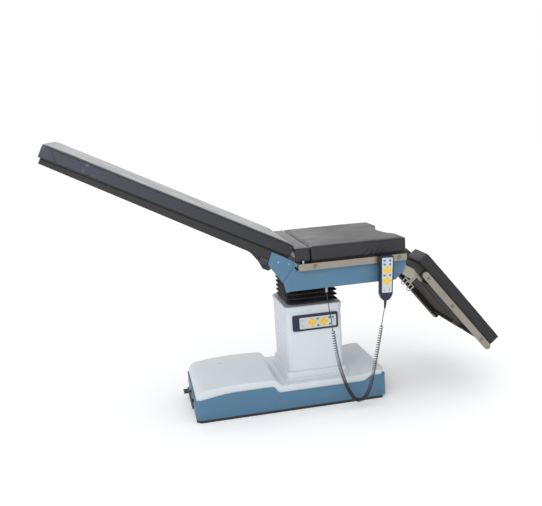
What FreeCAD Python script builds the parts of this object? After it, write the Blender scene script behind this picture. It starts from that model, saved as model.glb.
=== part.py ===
import FreeCAD, Part
import math
import os

os.makedirs("parts", exist_ok=True)

V = FreeCAD.Vector
Y = V(0, 1, 0)
Z = V(0, 0, 1)

# Millimetres. Origin on the floor on the column's centre line, X towards the leg end, near side at -Y.

# Running fits and gaps
RUN_GAP = 0.05
SOFT_GAP = 0.3
CORD_GAP = 1.3

# Base
BASE_LEFT = -557.5
BASE_RIGHT = 300.5
BASE_HALF_Y = 208.5
BASE_CHAMFER = 17.0
SKIRT_WALL = 3.0
PLATE_T = 12.0
COVER_INSET = 5.5
COVER_WALL = 4.0
DECK_Z = 118.0
COVER_BOTTOM = DECK_Z - 38.0

# Column
COLUMN_HALF_X = 127.5
COLUMN_HALF_Y = 143.0
COLUMN_BOTTOM = DECK_Z + 35.0
COLUMN_TOP = 449.0
CAP_H = 24.0
CAP_LIP = 3.0
COLUMN_ROUND = 22.0
COLUMN_WALL = 3.0
PLINTH_STEP = 10.0
GUIDE_HALF = COLUMN_HALF_X - 42.5
GUIDE_WALL = 6.0
SLEEVE_X = COLUMN_HALF_X - 9.5
SLEEVE_Y = COLUMN_HALF_Y - 21.0
SLEEVE_DEPTH = 20.0
BORE_R = 28.0

# Lift head and tilt cross
HEAD_PLATE_TOP = COLUMN_TOP + 111.0
HEAD_PLATE_T = 8.0
TILT_Z = HEAD_PLATE_TOP + 52.0
TRUNNION_R = 11.0
LUG_R = 20.0
LUG_IN = 50.0
LUG_OUT = 66.0
MOTOR_GAP = 2.0

# Cushions
CUSHION_HALF_Y = 260.0
SEAT_X0 = -29.0
SEAT_X1 = 396.0
SEAT_T = 61.0
NOTCH_HALF_Y = CUSHION_HALF_Y - 155.0
NOTCH_DEPTH = 28.0
KIDNEY_X0 = SEAT_X0 - 65.5
KIDNEY_GAP = 0.5
BACK_T = 53.0
BACK_LEN = 1064.0
LEG_LEN = 538.0
CUSHION_ROUND = 9.0

# Table frame, set out from the top of the seat board and the cushion's width
BOARD_TOP = TILT_Z + 56.5
BOARD_T = 3.5
CUSHION_TOP = BOARD_TOP + SEAT_T
RAIL_TOP = BOARD_TOP - 3.5
RAIL_W = 28.6
RAIL_T = 10.0
RAIL_IN_Y = CUSHION_HALF_Y + 10.0
SEAT_RAIL_X0 = SEAT_X0 - 58.5
SEAT_RAIL_X1 = SEAT_X1 - 8.5
RAIL_SCREW_X = (SEAT_RAIL_X0 + 72.5, SEAT_RAIL_X1 - 32.5)
TABLE_SKIRT_HALF_Y = CUSHION_HALF_Y + 2.0
TABLE_SKIRT_WALL = 2.5
TABLE_SKIRT_BOTTOM = BOARD_TOP - 118.5
PLATE_SIDE_T = 12.0
PLATE_SIDE_Y = CUSHION_HALF_Y - 24.0
BEAM_Z0 = TILT_Z + 22.0
BEAM_Z1 = BOARD_TOP - BOARD_T - 3.0

# Posts of the kidney bridge
POST_X = SEAT_X0 - 9.0
POST_Y = CUSHION_HALF_Y - 70.0
POST_R = 7.0

# Hinge of the back section and its resting angle above flat
BACK_PIVOT = (KIDNEY_X0 + 6.1, BOARD_TOP - 10.5)
BACK_REST = 27.14
BACK_END_GAP = 44.5
ARM_T = 4.5
ARM_Y0 = PLATE_SIDE_Y + PLATE_SIDE_T + 6.0
BACK_PIN_R = 6.0

# Fold of the leg sections and their resting angle below flat
LEG_PIVOT = (SEAT_X1 - 27.6, BOARD_TOP - 64.2)
LEG_REST = 51.5
LEG_END_GAP = 41.8
LEG_CUT_Y = CUSHION_HALF_Y - 141.0
LEG_CUT_X = 60.0
LEG_PIN_R = 8.0
LEG_X0 = LEG_PIVOT[0] + LEG_END_GAP
LEG_X1 = LEG_X0 + LEG_LEN
LEG_Z = CUSHION_TOP - BACK_T
LEG_BOARD_T = 8.5
BRACKET_T = 14.0
BRACKET_Y0 = PLATE_SIDE_Y - BRACKET_T - 2.0
SWING_X = LEG_PIVOT[0] + 121.6
SWING_Y = BRACKET_Y0 - 5.0
SWING_PIN_R = 6.0
FOOT_T = 8.0
FOOT_TOP = LEG_Z - 34.0
LEVER_R = 3.0
LEVER_Y = -BRACKET_Y0 - BRACKET_T + 6.0
LEVER_Z = LEG_PIVOT[1] - 11.3

# Castors and their pedal
WHEEL_R = 35.0
WHEEL_W = 24.0
WHEEL_LIFT = 4.5
CASTOR_TRAIL = 20.0
CASTOR_WINDOW = 61.0
CASTOR_X = (BASE_LEFT + 127.5, BASE_RIGHT - 85.5)
CASTOR_Y = BASE_HALF_Y - 73.5
CARRIAGE_Z = 84.0
CARRIAGE_HALF_Y = BASE_HALF_Y - 18.5
STEM_R = 8.0
GUIDE_POST_R = 7.0
PEDAL_PIVOT = (BASE_LEFT + 57.5, 60.0)
PEDAL_ARMS = (-80.0, 30.0)
PEDAL_BEARINGS = (-150.0, -45.0, 60.0)
SHAFT_R = 8.0

# Handset and its cord, set out from the cord socket under the table
SOCKET = (33.0, -TABLE_SKIRT_HALF_Y + 8.0, TABLE_SKIRT_BOTTOM - 21.0)
SOCKET_R = 5.4
HANDSET_X = SOCKET[0] + 255.0
HANDSET_Y = -RAIL_IN_Y - 30.0
HANDSET_HALF_T = 12.0
HANDSET_FOOT = RAIL_TOP - 188.0
RELIEF_END = (HANDSET_X - 15.0, HANDSET_Y, HANDSET_FOOT - 35.0)
LEAD_R = 2.25
COIL_R = 8.0

# The cord's route from the socket, as (x, out, z) past the socket's end
LEAD_IN = [(0.2, 0.0, -0.7), (2.6, 2.5, -42.0), (6.8, 7.0, -87.0), (11.9, 11.6, -127.0), (14.0, 14.0, -155.0)]
COIL = [(14.0, 14.0, -155.0), (18.2, 18.8, -211.0), (27.0, 25.0, -297.0), (46.0, 30.0, -380.0),
        (70.0, 34.0, -445.0), (95.0, 37.0, -488.0), (133.0, 38.5, -489.0), (161.0, 39.0, -443.0),
        (184.0, 39.0, -356.0), (204.5, 38.0, -259.0), (228.0, 39.0, -150.0)]
LEAD_OUT = [(228.0, 39.0, -150.0), (232.3, 39.2, -130.0), (234.8, 42.0, -109.0),
            (239.7, 46.0, -87.0 - CORD_GAP)]


def save(shape, name):
    shape.exportStep("parts/" + name + ".step")


def box(x0, x1, y0, y1, z0, z1):
    return Part.makeBox(x1 - x0, y1 - y0, z1 - z0, V(x0, y0, z0))


def cyl(r, p, q):
    a = V(*p)
    d = V(*q) - a
    return Part.makeCylinder(r, d.Length, a, d)


def cone(r0, r1, p, q):
    a = V(*p)
    d = V(*q) - a
    return Part.makeCone(r0, r1, d.Length, a, d)


def cross_bore(r, x, z):
    """Bore right across the table at (x, z)."""
    reach = 2 * CUSHION_HALF_Y
    return cyl(r, (x, -reach, z), (x, reach, z))


def mirror_y(shape):
    return shape.mirror(V(0, 0, 0), V(0, 1, 0))


def both_sides(shape):
    return [shape, mirror_y(shape)]


def prism_xz(points, y0, y1):
    pts = [V(x, y0, z) for x, z in points]
    face = Part.Face(Part.makePolygon(pts + pts[:1]))
    return face.extrude(V(0, y1 - y0, 0))


def prism_xy(points, z0, z1):
    pts = [V(x, y, z0) for x, y in points]
    face = Part.Face(Part.makePolygon(pts + pts[:1]))
    return face.extrude(V(0, 0, z1 - z0))


def fuse(shapes):
    return shapes[0].multiFuse(shapes[1:]).removeSplitter()


def group(shapes):
    return Part.makeCompound(shapes)


def rounded(shape, r, axis):
    """Rounds the straight edges that run along one axis."""
    picked = []
    for e in shape.Edges:
        if len(e.Vertexes) != 2 or not isinstance(e.Curve, Part.Line):
            continue
        d = e.Vertexes[1].Point - e.Vertexes[0].Point
        if abs(abs(d.dot(axis)) - d.Length) < 1e-6:
            picked.append(e)
    return shape.makeFillet(r, picked)


def slab(x0, x1, y0, y1, z0, z1, r):
    return rounded(box(x0, x1, y0, y1, z0, z1), r, Z)


def pad(shape, r):
    """Softens the upper and lower rims of a cushion block."""
    zmax = shape.BoundBox.ZMax
    zmin = shape.BoundBox.ZMin
    rim = []
    for e in shape.Edges:
        zs = [v.Point.z for v in e.Vertexes]
        if max(zs) - min(zs) < 1e-6 and (abs(zs[0] - zmax) < 1e-6 or abs(zs[0] - zmin) < 1e-6):
            rim.append(e)
    return shape.makeFillet(r, rim)


def raise_back(shape):
    px, pz = BACK_PIVOT
    out = shape.copy()
    out.rotate(V(px, 0, pz), Y, BACK_REST)
    return out


def lower_leg(shape):
    px, pz = LEG_PIVOT
    out = shape.copy()
    out.rotate(V(px, 0, pz), Y, LEG_REST)
    return out


# Base

def base_outline(inset):
    c = BASE_CHAMFER
    x0 = BASE_LEFT + inset
    x1 = BASE_RIGHT - inset
    h = BASE_HALF_Y - inset
    return [(x0 + c, -h), (x1 - c, -h), (x1, -h + c), (x1, h - c),
            (x1 - c, h), (x0 + c, h), (x0, h - c), (x0, -h + c)]


def line(p, q):
    return Part.LineSegment(V(p[0], 0, p[1]), V(q[0], 0, q[1])).toShape()


def spline(points):
    c = Part.BSplineCurve()
    c.interpolate([V(x, 0, z) for x, z in points])
    return c.toShape()


def ease(p, q):
    """Curve between two level stretches."""
    m = (p[0] + q[0]) / 2.0
    b = Part.BezierCurve()
    b.setPoles([V(p[0], 0, p[1]), V(m, 0, p[1]), V(m, 0, q[1]), V(q[0], 0, q[1])])
    return b.toShape()


def below(edges, p, q, z, y):
    """Solid under an open outline that runs from p to q, down to z and y wide to each side."""
    low = [line(q, (q[0], z)), line((q[0], z), (p[0], z)), line((p[0], z), p)]
    face = Part.Face(Part.Wire(edges + low))
    face.translate(V(0, -y, 0))
    return face.extrude(V(0, 2 * y, 0))


def skirt_wave():
    """Everything under the skirt's swelling upper edge."""
    left = -COLUMN_HALF_X
    right = COLUMN_HALF_X
    p = (BASE_LEFT - 20, DECK_Z - 22)
    a = (BASE_LEFT + 173.5, DECK_Z + 1.5)
    b = (left - 94.5, DECK_Z + 1.8)
    c = (left - 53.5, DECK_Z - 28)
    d = (right + 62.5, DECK_Z - 28)
    e = (right + 112.5, DECK_Z - 7)
    q = (BASE_RIGHT + 20, DECK_Z - 6.4)
    rise = [p, (BASE_LEFT + 41.5, DECK_Z - 14.2), (BASE_LEFT + 128.9, DECK_Z - 2), a]
    edges = [spline(rise), line(a, b), ease(b, c), line(c, d), ease(d, e), line(e, q)]
    return below(edges, p, q, PLATE_T, 2 * BASE_HALF_Y)


def cover_wave(drop, inset):
    """Everything under the cover's top, which dips to a level deck at the column."""
    left = -COLUMN_HALF_X
    right = COLUMN_HALF_X
    top = DECK_Z - drop
    p = (BASE_LEFT + COVER_INSET + inset, top - 18)
    a = (p[0] + 42, top + 23)
    m = (left - 188.5, top + 34)
    b = (left - 86.5, top + 30.5)
    c = (left - 35.5, top)
    d = (right + 65.5, top)
    e = (right + 118.5, top + 13.5)
    q = (BASE_RIGHT + 20, top + 18)
    nose = Part.BezierCurve()
    nose.setPoles([V(p[0], 0, p[1]), V(p[0] + 3, 0, p[1] + 27), V(a[0] - 22, 0, a[1] - 3), V(a[0], 0, a[1])])
    crest = [a, ((a[0] + m[0]) / 2 - 10.5, top + 31), m, b]
    edges = [nose.toShape(), spline(crest), ease(b, c), line(c, d), ease(d, e), line(e, q)]
    return below(edges, p, q, COVER_BOTTOM, 2 * BASE_HALF_Y)


def castor_places():
    return [(x, y) for x in CASTOR_X for y in (-CASTOR_Y, CASTOR_Y)]


def guide_posts():
    return [(x, y) for x in (CASTOR_X[0] - 28, CASTOR_X[1] + 28) for y in (-60, 60)]


def base_plate():
    """Floor plate with a window over each castor and posts that guide the castor carriage."""
    plate = prism_xy(base_outline(1.0), 0, PLATE_T)
    plate = plate.cut(box(BASE_RIGHT - 20, BASE_RIGHT + 1, -2 * BASE_HALF_Y, 2 * BASE_HALF_Y, -1, PLATE_T + 1))
    w = CASTOR_WINDOW
    for x, y in castor_places():
        plate = plate.cut(slab(x - w, x + w, y - w, y + w, -1, PLATE_T + 1, 6))
    top = CARRIAGE_Z + 24
    posts = [cyl(GUIDE_POST_R, (x, y, PLATE_T), (x, y, top)) for x, y in guide_posts()]
    return fuse([plate] + posts)


def base_skirt():
    high = DECK_Z + 80
    ring = prism_xy(base_outline(0), PLATE_T, high)
    ring = ring.cut(prism_xy(base_outline(SKIRT_WALL), PLATE_T - 1, high + 1))
    ring = ring.common(skirt_wave())
    pz = PEDAL_PIVOT[1]
    for y in PEDAL_ARMS:
        ring = ring.cut(box(BASE_LEFT - 5, BASE_LEFT + 10, y - 11, y + 11, pz - 26, pz + 18))
    return ring


def base_cover():
    high = DECK_Z + 180
    outer = prism_xy(base_outline(COVER_INSET), COVER_BOTTOM, high).common(cover_wave(0, 0))
    top = []
    for e in outer.Edges:
        zs = [v.Point.z for v in e.Vertexes]
        ys = [v.Point.y for v in e.Vertexes]
        level = min(zs) > COVER_BOTTOM + 16
        side = max(abs(ys[0]), abs(ys[-1])) > BASE_HALF_Y - COVER_INSET - 0.1
        if level and side and abs(ys[0] - ys[-1]) < 0.1:
            top.append(e)
    outer = outer.makeFillet(7.0, top)
    inset = COVER_INSET + COVER_WALL
    inner = prism_xy(base_outline(inset), COVER_BOTTOM - 1, high).common(cover_wave(COVER_WALL, COVER_WALL))
    inner = inner.fuse(prism_xy(base_outline(inset), COVER_BOTTOM - 1, COVER_BOTTOM + 1))
    shell = outer.cut(inner)
    g = GUIDE_HALF + 20
    return shell.cut(box(-g, g, -g, g, COVER_BOTTOM - 20, high))


def power_unit():
    x0 = CASTOR_X[0] + 45
    x1 = -GUIDE_HALF - 105
    pump = slab(x0, x1 - 65, -95, 60, PLATE_T, DECK_Z + 10, 8)
    battery = slab(x1 - 55, x1, -80, 80, PLATE_T, DECK_Z - 13, 6)
    return group([pump, battery])


# Column

def column_block(extra, z0, z1):
    a = COLUMN_HALF_X + extra
    b = COLUMN_HALF_Y + extra
    return slab(-a, a, -b, b, z0, z1, COLUMN_ROUND)


def column_plinth():
    step = PLINTH_STEP
    low = column_block(2 * step, DECK_Z, DECK_Z + 8)
    high = column_block(step, DECK_Z + 8, COLUMN_BOTTOM)
    g = GUIDE_HALF + 20
    hole = slab(-g, g, -g, g, DECK_Z - 10, COLUMN_BOTTOM + 10, 10)
    return fuse([low, high]).cut(hole)


def column_shell():
    outer = column_block(0, COLUMN_BOTTOM, COLUMN_TOP - CAP_H)
    inner = column_block(-COLUMN_WALL, COLUMN_BOTTOM - 1, COLUMN_TOP - CAP_H + 1)
    return outer.cut(inner)


def column_cap():
    cap = column_block(CAP_LIP, COLUMN_TOP - CAP_H, COLUMN_TOP)
    rim = [e for e in cap.Edges if min(v.Point.z for v in e.Vertexes) > COLUMN_TOP - 1]
    cap = cap.makeFillet(4.0, rim)
    g = GUIDE_HALF + 7
    return cap.cut(box(-g, g, -g, g, COLUMN_TOP - CAP_H - 1, COLUMN_TOP + 1))


def square_tube(half, wall, z0, z1, r):
    outer = slab(-half, half, -half, half, z0, z1, r)
    inner = slab(-half + wall, half - wall, -half + wall, half - wall, z0 - 1, z1 + 1, max(r - wall, 1))
    return outer.cut(inner)


def fixed_guide():
    g = GUIDE_HALF + 15
    h = GUIDE_HALF - 25
    foot = box(-g, g, -g, g, PLATE_T, PLATE_T + 10)
    foot = foot.cut(box(-h, h, -h, h, PLATE_T - 1, PLATE_T + 11))
    tube = square_tube(GUIDE_HALF, GUIDE_WALL, PLATE_T + 10, COLUMN_TOP - 17, 10)
    return fuse([foot, tube])


def lift_cylinder():
    body = cyl(BORE_R + 10, (0, 0, PLATE_T), (0, 0, COLUMN_TOP - 41))
    return body.cut(cyl(BORE_R, (0, 0, PLATE_T + 16), (0, 0, COLUMN_TOP)))


def bellows():
    top = HEAD_PLATE_TOP - HEAD_PLATE_T - SOFT_GAP
    a = SLEEVE_X
    b = SLEEVE_Y
    d = SLEEVE_DEPTH
    outer = slab(-a, a, -b, b, COLUMN_TOP, top, 16)
    return outer.cut(slab(-a + d, a - d, -b + d, b - d, COLUMN_TOP - 1, top + 1, 8))


def panel_bezel():
    """Control panel housing on the column's near face, with a shallow tray for the keypad."""
    y = -COLUMN_HALF_Y
    x0 = -COLUMN_HALF_X + 27.9
    x1 = COLUMN_HALF_X - 20.5
    z0 = COLUMN_TOP - 112
    z1 = COLUMN_TOP - 40
    plate = rounded(box(x0, x1, y - 6, y, z0, z1), 8, Y)
    return plate.cut(rounded(box(x0 + 30.6, x1 - 8, y - 7, y - 5, z0 + 8, z1 - 12), 4, Y))


# Lift head and tilt cross

def moving_guide():
    half = GUIDE_HALF - GUIDE_WALL - RUN_GAP
    return square_tube(half, 5, PLATE_T + 66, HEAD_PLATE_TOP - HEAD_PLATE_T, 4)


def lift_rod():
    z0 = PLATE_T + 63
    rod = cyl(BORE_R - 10, (0, 0, z0), (0, 0, HEAD_PLATE_TOP - HEAD_PLATE_T))
    piston = cyl(BORE_R - RUN_GAP, (0, 0, z0), (0, 0, z0 + 25))
    return fuse([rod, piston])


def lug_y(y0, y1, z0):
    """Lug around the trend axis, from a plate at z0."""
    eye = cyl(LUG_R, (0, y0, TILT_Z), (0, y1, TILT_Z))
    web = box(-LUG_R, LUG_R, y0, y1, z0, TILT_Z)
    bore = cyl(TRUNNION_R + RUN_GAP, (0, y0 - 1, TILT_Z), (0, y1 + 1, TILT_Z))
    return eye.fuse(web).cut(bore)


def head_clevis():
    a = SLEEVE_X - 2
    b = SLEEVE_Y - 2
    plate = slab(-a, a, -b, b, HEAD_PLATE_TOP - HEAD_PLATE_T, HEAD_PLATE_TOP, 14)
    lugs = both_sides(lug_y(LUG_IN, LUG_OUT, HEAD_PLATE_TOP))
    return fuse([plate] + lugs)


def trend_motor():
    """Sealed gear motor on the outer face of the head's lug."""
    y = LUG_OUT + MOTOR_GAP
    body = cyl(LUG_R - 2, (0, y, TILT_Z), (0, y + 42, TILT_Z))
    flange = cyl(LUG_R - 4, (0, LUG_OUT, TILT_Z), (0, y, TILT_Z))
    return fuse([body, flange])


def tilt_cross():
    h = LUG_R
    hub = box(-h, h, -h, h, TILT_Z - h, TILT_Z + h)
    pin_y = cyl(TRUNNION_R, (0, -LUG_OUT + 1, TILT_Z), (0, LUG_OUT - 1, TILT_Z))
    pin_x = cyl(TRUNNION_R, (-LUG_OUT + 1, 0, TILT_Z), (LUG_OUT - 1, 0, TILT_Z))
    return fuse([hub, pin_y, pin_x])


# Table frame

def side_plate():
    px, pz = BACK_PIVOT
    qx, qz = LEG_PIVOT
    top = BOARD_TOP - BOARD_T - 0.5
    low = TILT_Z - 40
    body = [(px + 28.4, top), (qx - 13.4, top), (qx + 10, qz + 6), (qx, qz - 12), (qx - 28.4, low),
            (px + 68.4, low), (px + 28.4, low + 28), (px - 4, pz - 8), (px - 2, pz + 8.2)]
    y0 = PLATE_SIDE_Y
    y1 = y0 + PLATE_SIDE_T
    plate = prism_xz(body, y0, y1)
    plate = plate.fuse(cyl(BACK_PIN_R + 3, (px, y0, pz), (px, y1, pz)))
    plate = plate.fuse(cyl(LEG_PIN_R + 4, (qx, y0, qz), (qx, y1, qz)))
    plate = plate.cut(cross_bore(BACK_PIN_R + RUN_GAP, px, pz))
    return plate.cut(cross_bore(LEG_PIN_R + RUN_GAP, qx, qz))


def seat_frame():
    y = PLATE_SIDE_Y
    qx, qz = LEG_PIVOT
    left = box(-LUG_OUT, -LUG_IN, -y, y, BEAM_Z0, BEAM_Z1)
    right = box(LUG_IN, LUG_OUT, -y, y, BEAM_Z0, BEAM_Z1)
    guide = box(-LUG_IN, POST_X + 2 * POST_R, -y, y, BEAM_Z0, BEAM_Z1)
    end = box(qx - 72.4, qx - 32.4, -y, y, qz - 4.3, BEAM_Z0 + 6)
    lugs = []
    for x0 in (-LUG_OUT, LUG_IN):
        x1 = x0 + LUG_OUT - LUG_IN
        lugs.append(cyl(LUG_R, (x0, 0, TILT_Z), (x1, 0, TILT_Z)))
        lugs.append(box(x0, x1, -LUG_R, LUG_R, TILT_Z, BEAM_Z0 + 6))
    frame = fuse(both_sides(side_plate()) + [left, right, guide, end] + lugs)
    frame = frame.cut(cyl(TRUNNION_R + RUN_GAP, (-LUG_OUT - 9, 0, TILT_Z), (LUG_OUT + 9, 0, TILT_Z)))
    for y in (-POST_Y, POST_Y):
        frame = frame.cut(cyl(POST_R + RUN_GAP, (POST_X, y, BEAM_Z0 - 9), (POST_X, y, BEAM_Z1 + 9)))
    return frame


def tilt_motor():
    """Sealed gear motor on the outer face of the frame's lug."""
    x = LUG_OUT + MOTOR_GAP
    body = cyl(LUG_R - 1, (x, 0, TILT_Z), (x + 60, 0, TILT_Z))
    flange = cyl(LUG_R - 4, (LUG_OUT, 0, TILT_Z), (x, 0, TILT_Z))
    return fuse([body, flange])


def skirt_nose():
    """The sheet's slanted leg end, from its lower corner upwards."""
    qx, qz = LEG_PIVOT
    return [(qx - 28.1, TABLE_SKIRT_BOTTOM + 2), (qx + 7, qz - 21.7), (qx + 20.7, qz + 7.7),
            (qx + 22.3, RAIL_TOP - 29)]


def table_skirt():
    """Folded sheet: two side plates, a slanted end with slots for the leg brackets, inward hems."""
    px, pz = BACK_PIVOT
    qx, qz = LEG_PIVOT
    h = TABLE_SKIRT_HALF_Y
    t = TABLE_SKIRT_WALL
    nose = skirt_nose()
    side = [(px - 15.2, pz - 5.4), (px - 64.2, pz - 67.4), (px - 54.2, pz - 111), (px - 29.6, TABLE_SKIRT_BOTTOM)]
    side += nose + [(px - 3.6, RAIL_TOP - 29)]
    back = [(x - t, z + k) for (x, z), k in zip(nose, (2.5, 1.9, 1.0, 0.0))]
    wall = prism_xz(nose + back[::-1], -h + t / 2, h - t / 2)
    hem = box(px + 28.4, qx - 30.4, h - 18, h - t / 2, TABLE_SKIRT_BOTTOM + 1, TABLE_SKIRT_BOTTOM + 1 + t)
    skin = fuse(both_sides(prism_xz(side, h - t, h)) + [wall] + both_sides(hem))
    slot = BRACKET_T / 2 + 7
    for y in (-BRACKET_Y0 - BRACKET_T / 2, BRACKET_Y0 + BRACKET_T / 2):
        skin = skin.cut(box(qx - 43.4, qx + 31.6, y - slot, y + slot, TABLE_SKIRT_BOTTOM - 10, RAIL_TOP))
    parts = [skin]
    tabs = [box(x, x + 30, PLATE_SIDE_Y + PLATE_SIDE_T, h - t / 2, qz - 4.3, qz - 0.3)
            for x in (qx - 348.4, qx - 208.4, qx - 68.4)]
    tabs.append(box(qx - 32.4, qx + 19.6, NOTCH_HALF_Y + 35, NOTCH_HALF_Y + 55, qz + 9.7, qz + 13.7))
    for tab in tabs:
        parts += both_sides(tab)
    return fuse(parts)


def seat_board():
    h = CUSHION_HALF_Y - 2
    board = slab(SEAT_X0 + 1, SEAT_X1 - 6, -h, h, BOARD_TOP - BOARD_T, BOARD_TOP, 12)
    n = NOTCH_HALF_Y + 2
    return board.cut(box(SEAT_X1 - NOTCH_DEPTH, SEAT_X1, -n, n, BOARD_TOP - 2 * BOARD_T, BOARD_TOP + 1))


def seat_cushion():
    """Seat pad with a shallow curved cut-out at the leg end."""
    x1 = SEAT_X1
    n = NOTCH_HALF_Y
    h = CUSHION_HALF_Y
    z = BOARD_TOP
    m = x1 - NOTCH_DEPTH
    pts = [V(SEAT_X0, -h, z), V(x1, -h, z), V(x1, -n - 20, z), V(m, -n + 30, z), V(m - 10, 0, z),
           V(m, n - 30, z), V(x1, n + 20, z), V(x1, h, z), V(SEAT_X0, h, z)]
    edges = [Part.LineSegment(pts[i], pts[i + 1]).toShape() for i in (0, 1, 2)]
    edges.append(Part.Arc(pts[3], pts[4], pts[5]).toShape())
    edges += [Part.LineSegment(pts[i], pts[i + 1]).toShape() for i in (5, 6, 7)]
    edges.append(Part.LineSegment(pts[8], pts[0]).toShape())
    block = Part.Face(Part.Wire(edges)).extrude(V(0, 0, SEAT_T))
    return pad(block, CUSHION_ROUND)


def side_rails():
    bar = box(SEAT_RAIL_X0, SEAT_RAIL_X1, RAIL_IN_Y, RAIL_IN_Y + RAIL_T, RAIL_TOP - RAIL_W, RAIL_TOP)
    return group(both_sides(rounded(bar, 3.0, Y)))


def rail_spacers():
    """Distance bushes between frame and rails, with the screws' collars, and the clamp stops."""
    z = RAIL_TOP - RAIL_W / 2.0
    out = RAIL_IN_Y + RAIL_T
    parts = []
    for x in RAIL_SCREW_X:
        parts += both_sides(cyl(8, (x, PLATE_SIDE_Y + PLATE_SIDE_T, z), (x, RAIL_IN_Y, z)))
        parts += both_sides(cyl(6, (x, out, z), (x, out + 1.5, z)))
    x = SEAT_RAIL_X0 + 21.5
    y = RAIL_IN_Y + RAIL_T / 2
    parts += both_sides(cyl(4.5, (x, y, RAIL_TOP), (x, y, RAIL_TOP + 14)))
    return group(parts)


def hinge_gearmotors():
    """Flat sealed gear motors on the inner faces of the side plates."""
    px, pz = BACK_PIVOT
    y = PLATE_SIDE_Y
    case = rounded(box(px - 6, px + 68.4, y - 26, y, pz - 54, pz - 26), 6, Y)
    hub = cyl(BACK_PIN_R + 3, (px, y - 14, pz), (px, y, pz))
    web = prism_xz([(px - 9, pz), (px - 6, pz - 32), (px + 22, pz - 32), (px + 9, pz)], y - 14, y)
    back = fuse([case, hub, web]).cut(cross_bore(BACK_PIN_R + RUN_GAP, px, pz))
    return group(both_sides(back))


# Kidney bridge

def kidney_board():
    x1 = SEAT_X0 - KIDNEY_GAP
    y = CUSHION_HALF_Y - 60
    z = BOARD_TOP - BOARD_T
    board = box(KIDNEY_X0 + 1, x1, -y, y, z, BOARD_TOP)
    posts = [cyl(POST_R, (POST_X, y, TABLE_SKIRT_BOTTOM - 4), (POST_X, y, z)) for y in (-POST_Y, POST_Y)]
    return fuse([board] + posts)


def kidney_cushion():
    x1 = SEAT_X0 - KIDNEY_GAP
    block = box(KIDNEY_X0, x1, -CUSHION_HALF_Y, CUSHION_HALF_Y, BOARD_TOP, CUSHION_TOP)
    return pad(block, 5.0)


# Back section, drawn flat and then raised

def back_end():
    return BACK_PIVOT[0] - BACK_END_GAP


def head_end():
    return back_end() - BACK_LEN


def back_cushion():
    h = CUSHION_HALF_Y
    block = slab(head_end(), back_end(), -h, h, CUSHION_TOP - BACK_T, CUSHION_TOP, 14)
    return raise_back(pad(block, CUSHION_ROUND))


def back_board():
    z = CUSHION_TOP - BACK_T
    h = CUSHION_HALF_Y - 8
    return raise_back(slab(head_end() + 6, back_end() - 3, -h, h, z - BOARD_T, z, 12))


def back_frame():
    """Two tapering side beams with a hinge lug each, and four cross members."""
    z = CUSHION_TOP - BACK_T - BOARD_T
    px = BACK_PIVOT[0]
    x0 = head_end() + 8
    x1 = back_end() - 12
    beam = [(x0, z), (x1, z), (x1, z - 38.5), (x1 - 35, z - 38.5), (x0, z - 19)]
    lug = [(px - 231.6, z - 33), (px - 202.6, z - 39), (px - 157.6, z - 60), (px - 129.6, z - 81.5),
           (px - 102.6, z - 80), (px - 83.6, z - 33)]
    parts = both_sides(prism_xz(beam, ARM_Y0 - 22, ARM_Y0))
    parts += both_sides(prism_xz(lug, ARM_Y0 - 18, ARM_Y0))
    step = (x1 - 45 - x0) / 3
    for k in range(4):
        x = x0 + k * step
        parts.append(box(x, x + 26, -ARM_Y0 + 20, ARM_Y0 - 20, z - 18, z))
    return raise_back(fuse(parts))


def back_arms():
    px, pz = BACK_PIVOT
    near = [(-123.6, 13), (-71.6, 11.8), (-4.2, 7.4), (8.5, 0), (-8.6, -12), (-15.6, -58),
            (-28.6, -90.5), (-57.6, -73.5), (-108.6, -48.5), (-119.1, -37)]
    y0 = ARM_Y0
    y1 = ARM_Y0 + ARM_T
    plate = prism_xz([(px + x, pz + z) for x, z in near], y0, y1)
    plate = plate.fuse(cyl(BACK_PIN_R + 2.5, (px, y0, pz), (px, y1, pz)))
    plate = plate.cut(cross_bore(BACK_PIN_R, px, pz))
    return raise_back(group(both_sides(plate)))


def back_pins():
    px, pz = BACK_PIVOT
    pin = cyl(BACK_PIN_R, (px, PLATE_SIDE_Y - 13, pz), (px, ARM_Y0 + ARM_T, pz))
    return group(both_sides(pin))


def back_latches():
    """Release knobs beside the hinge lugs."""
    px, pz = BACK_PIVOT
    y = ARM_Y0
    block = rounded(box(px - 159.6, px - 125.6, y, y + 9, pz - 46, pz - 22), 5, Y)
    knob = cyl(6, (px - 147.6, y + 9, pz - 34), (px - 147.6, y + 15, pz - 34))
    return raise_back(group(both_sides(fuse([block, knob]))))


# Leg sections, near side, drawn flat and then lowered

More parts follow.
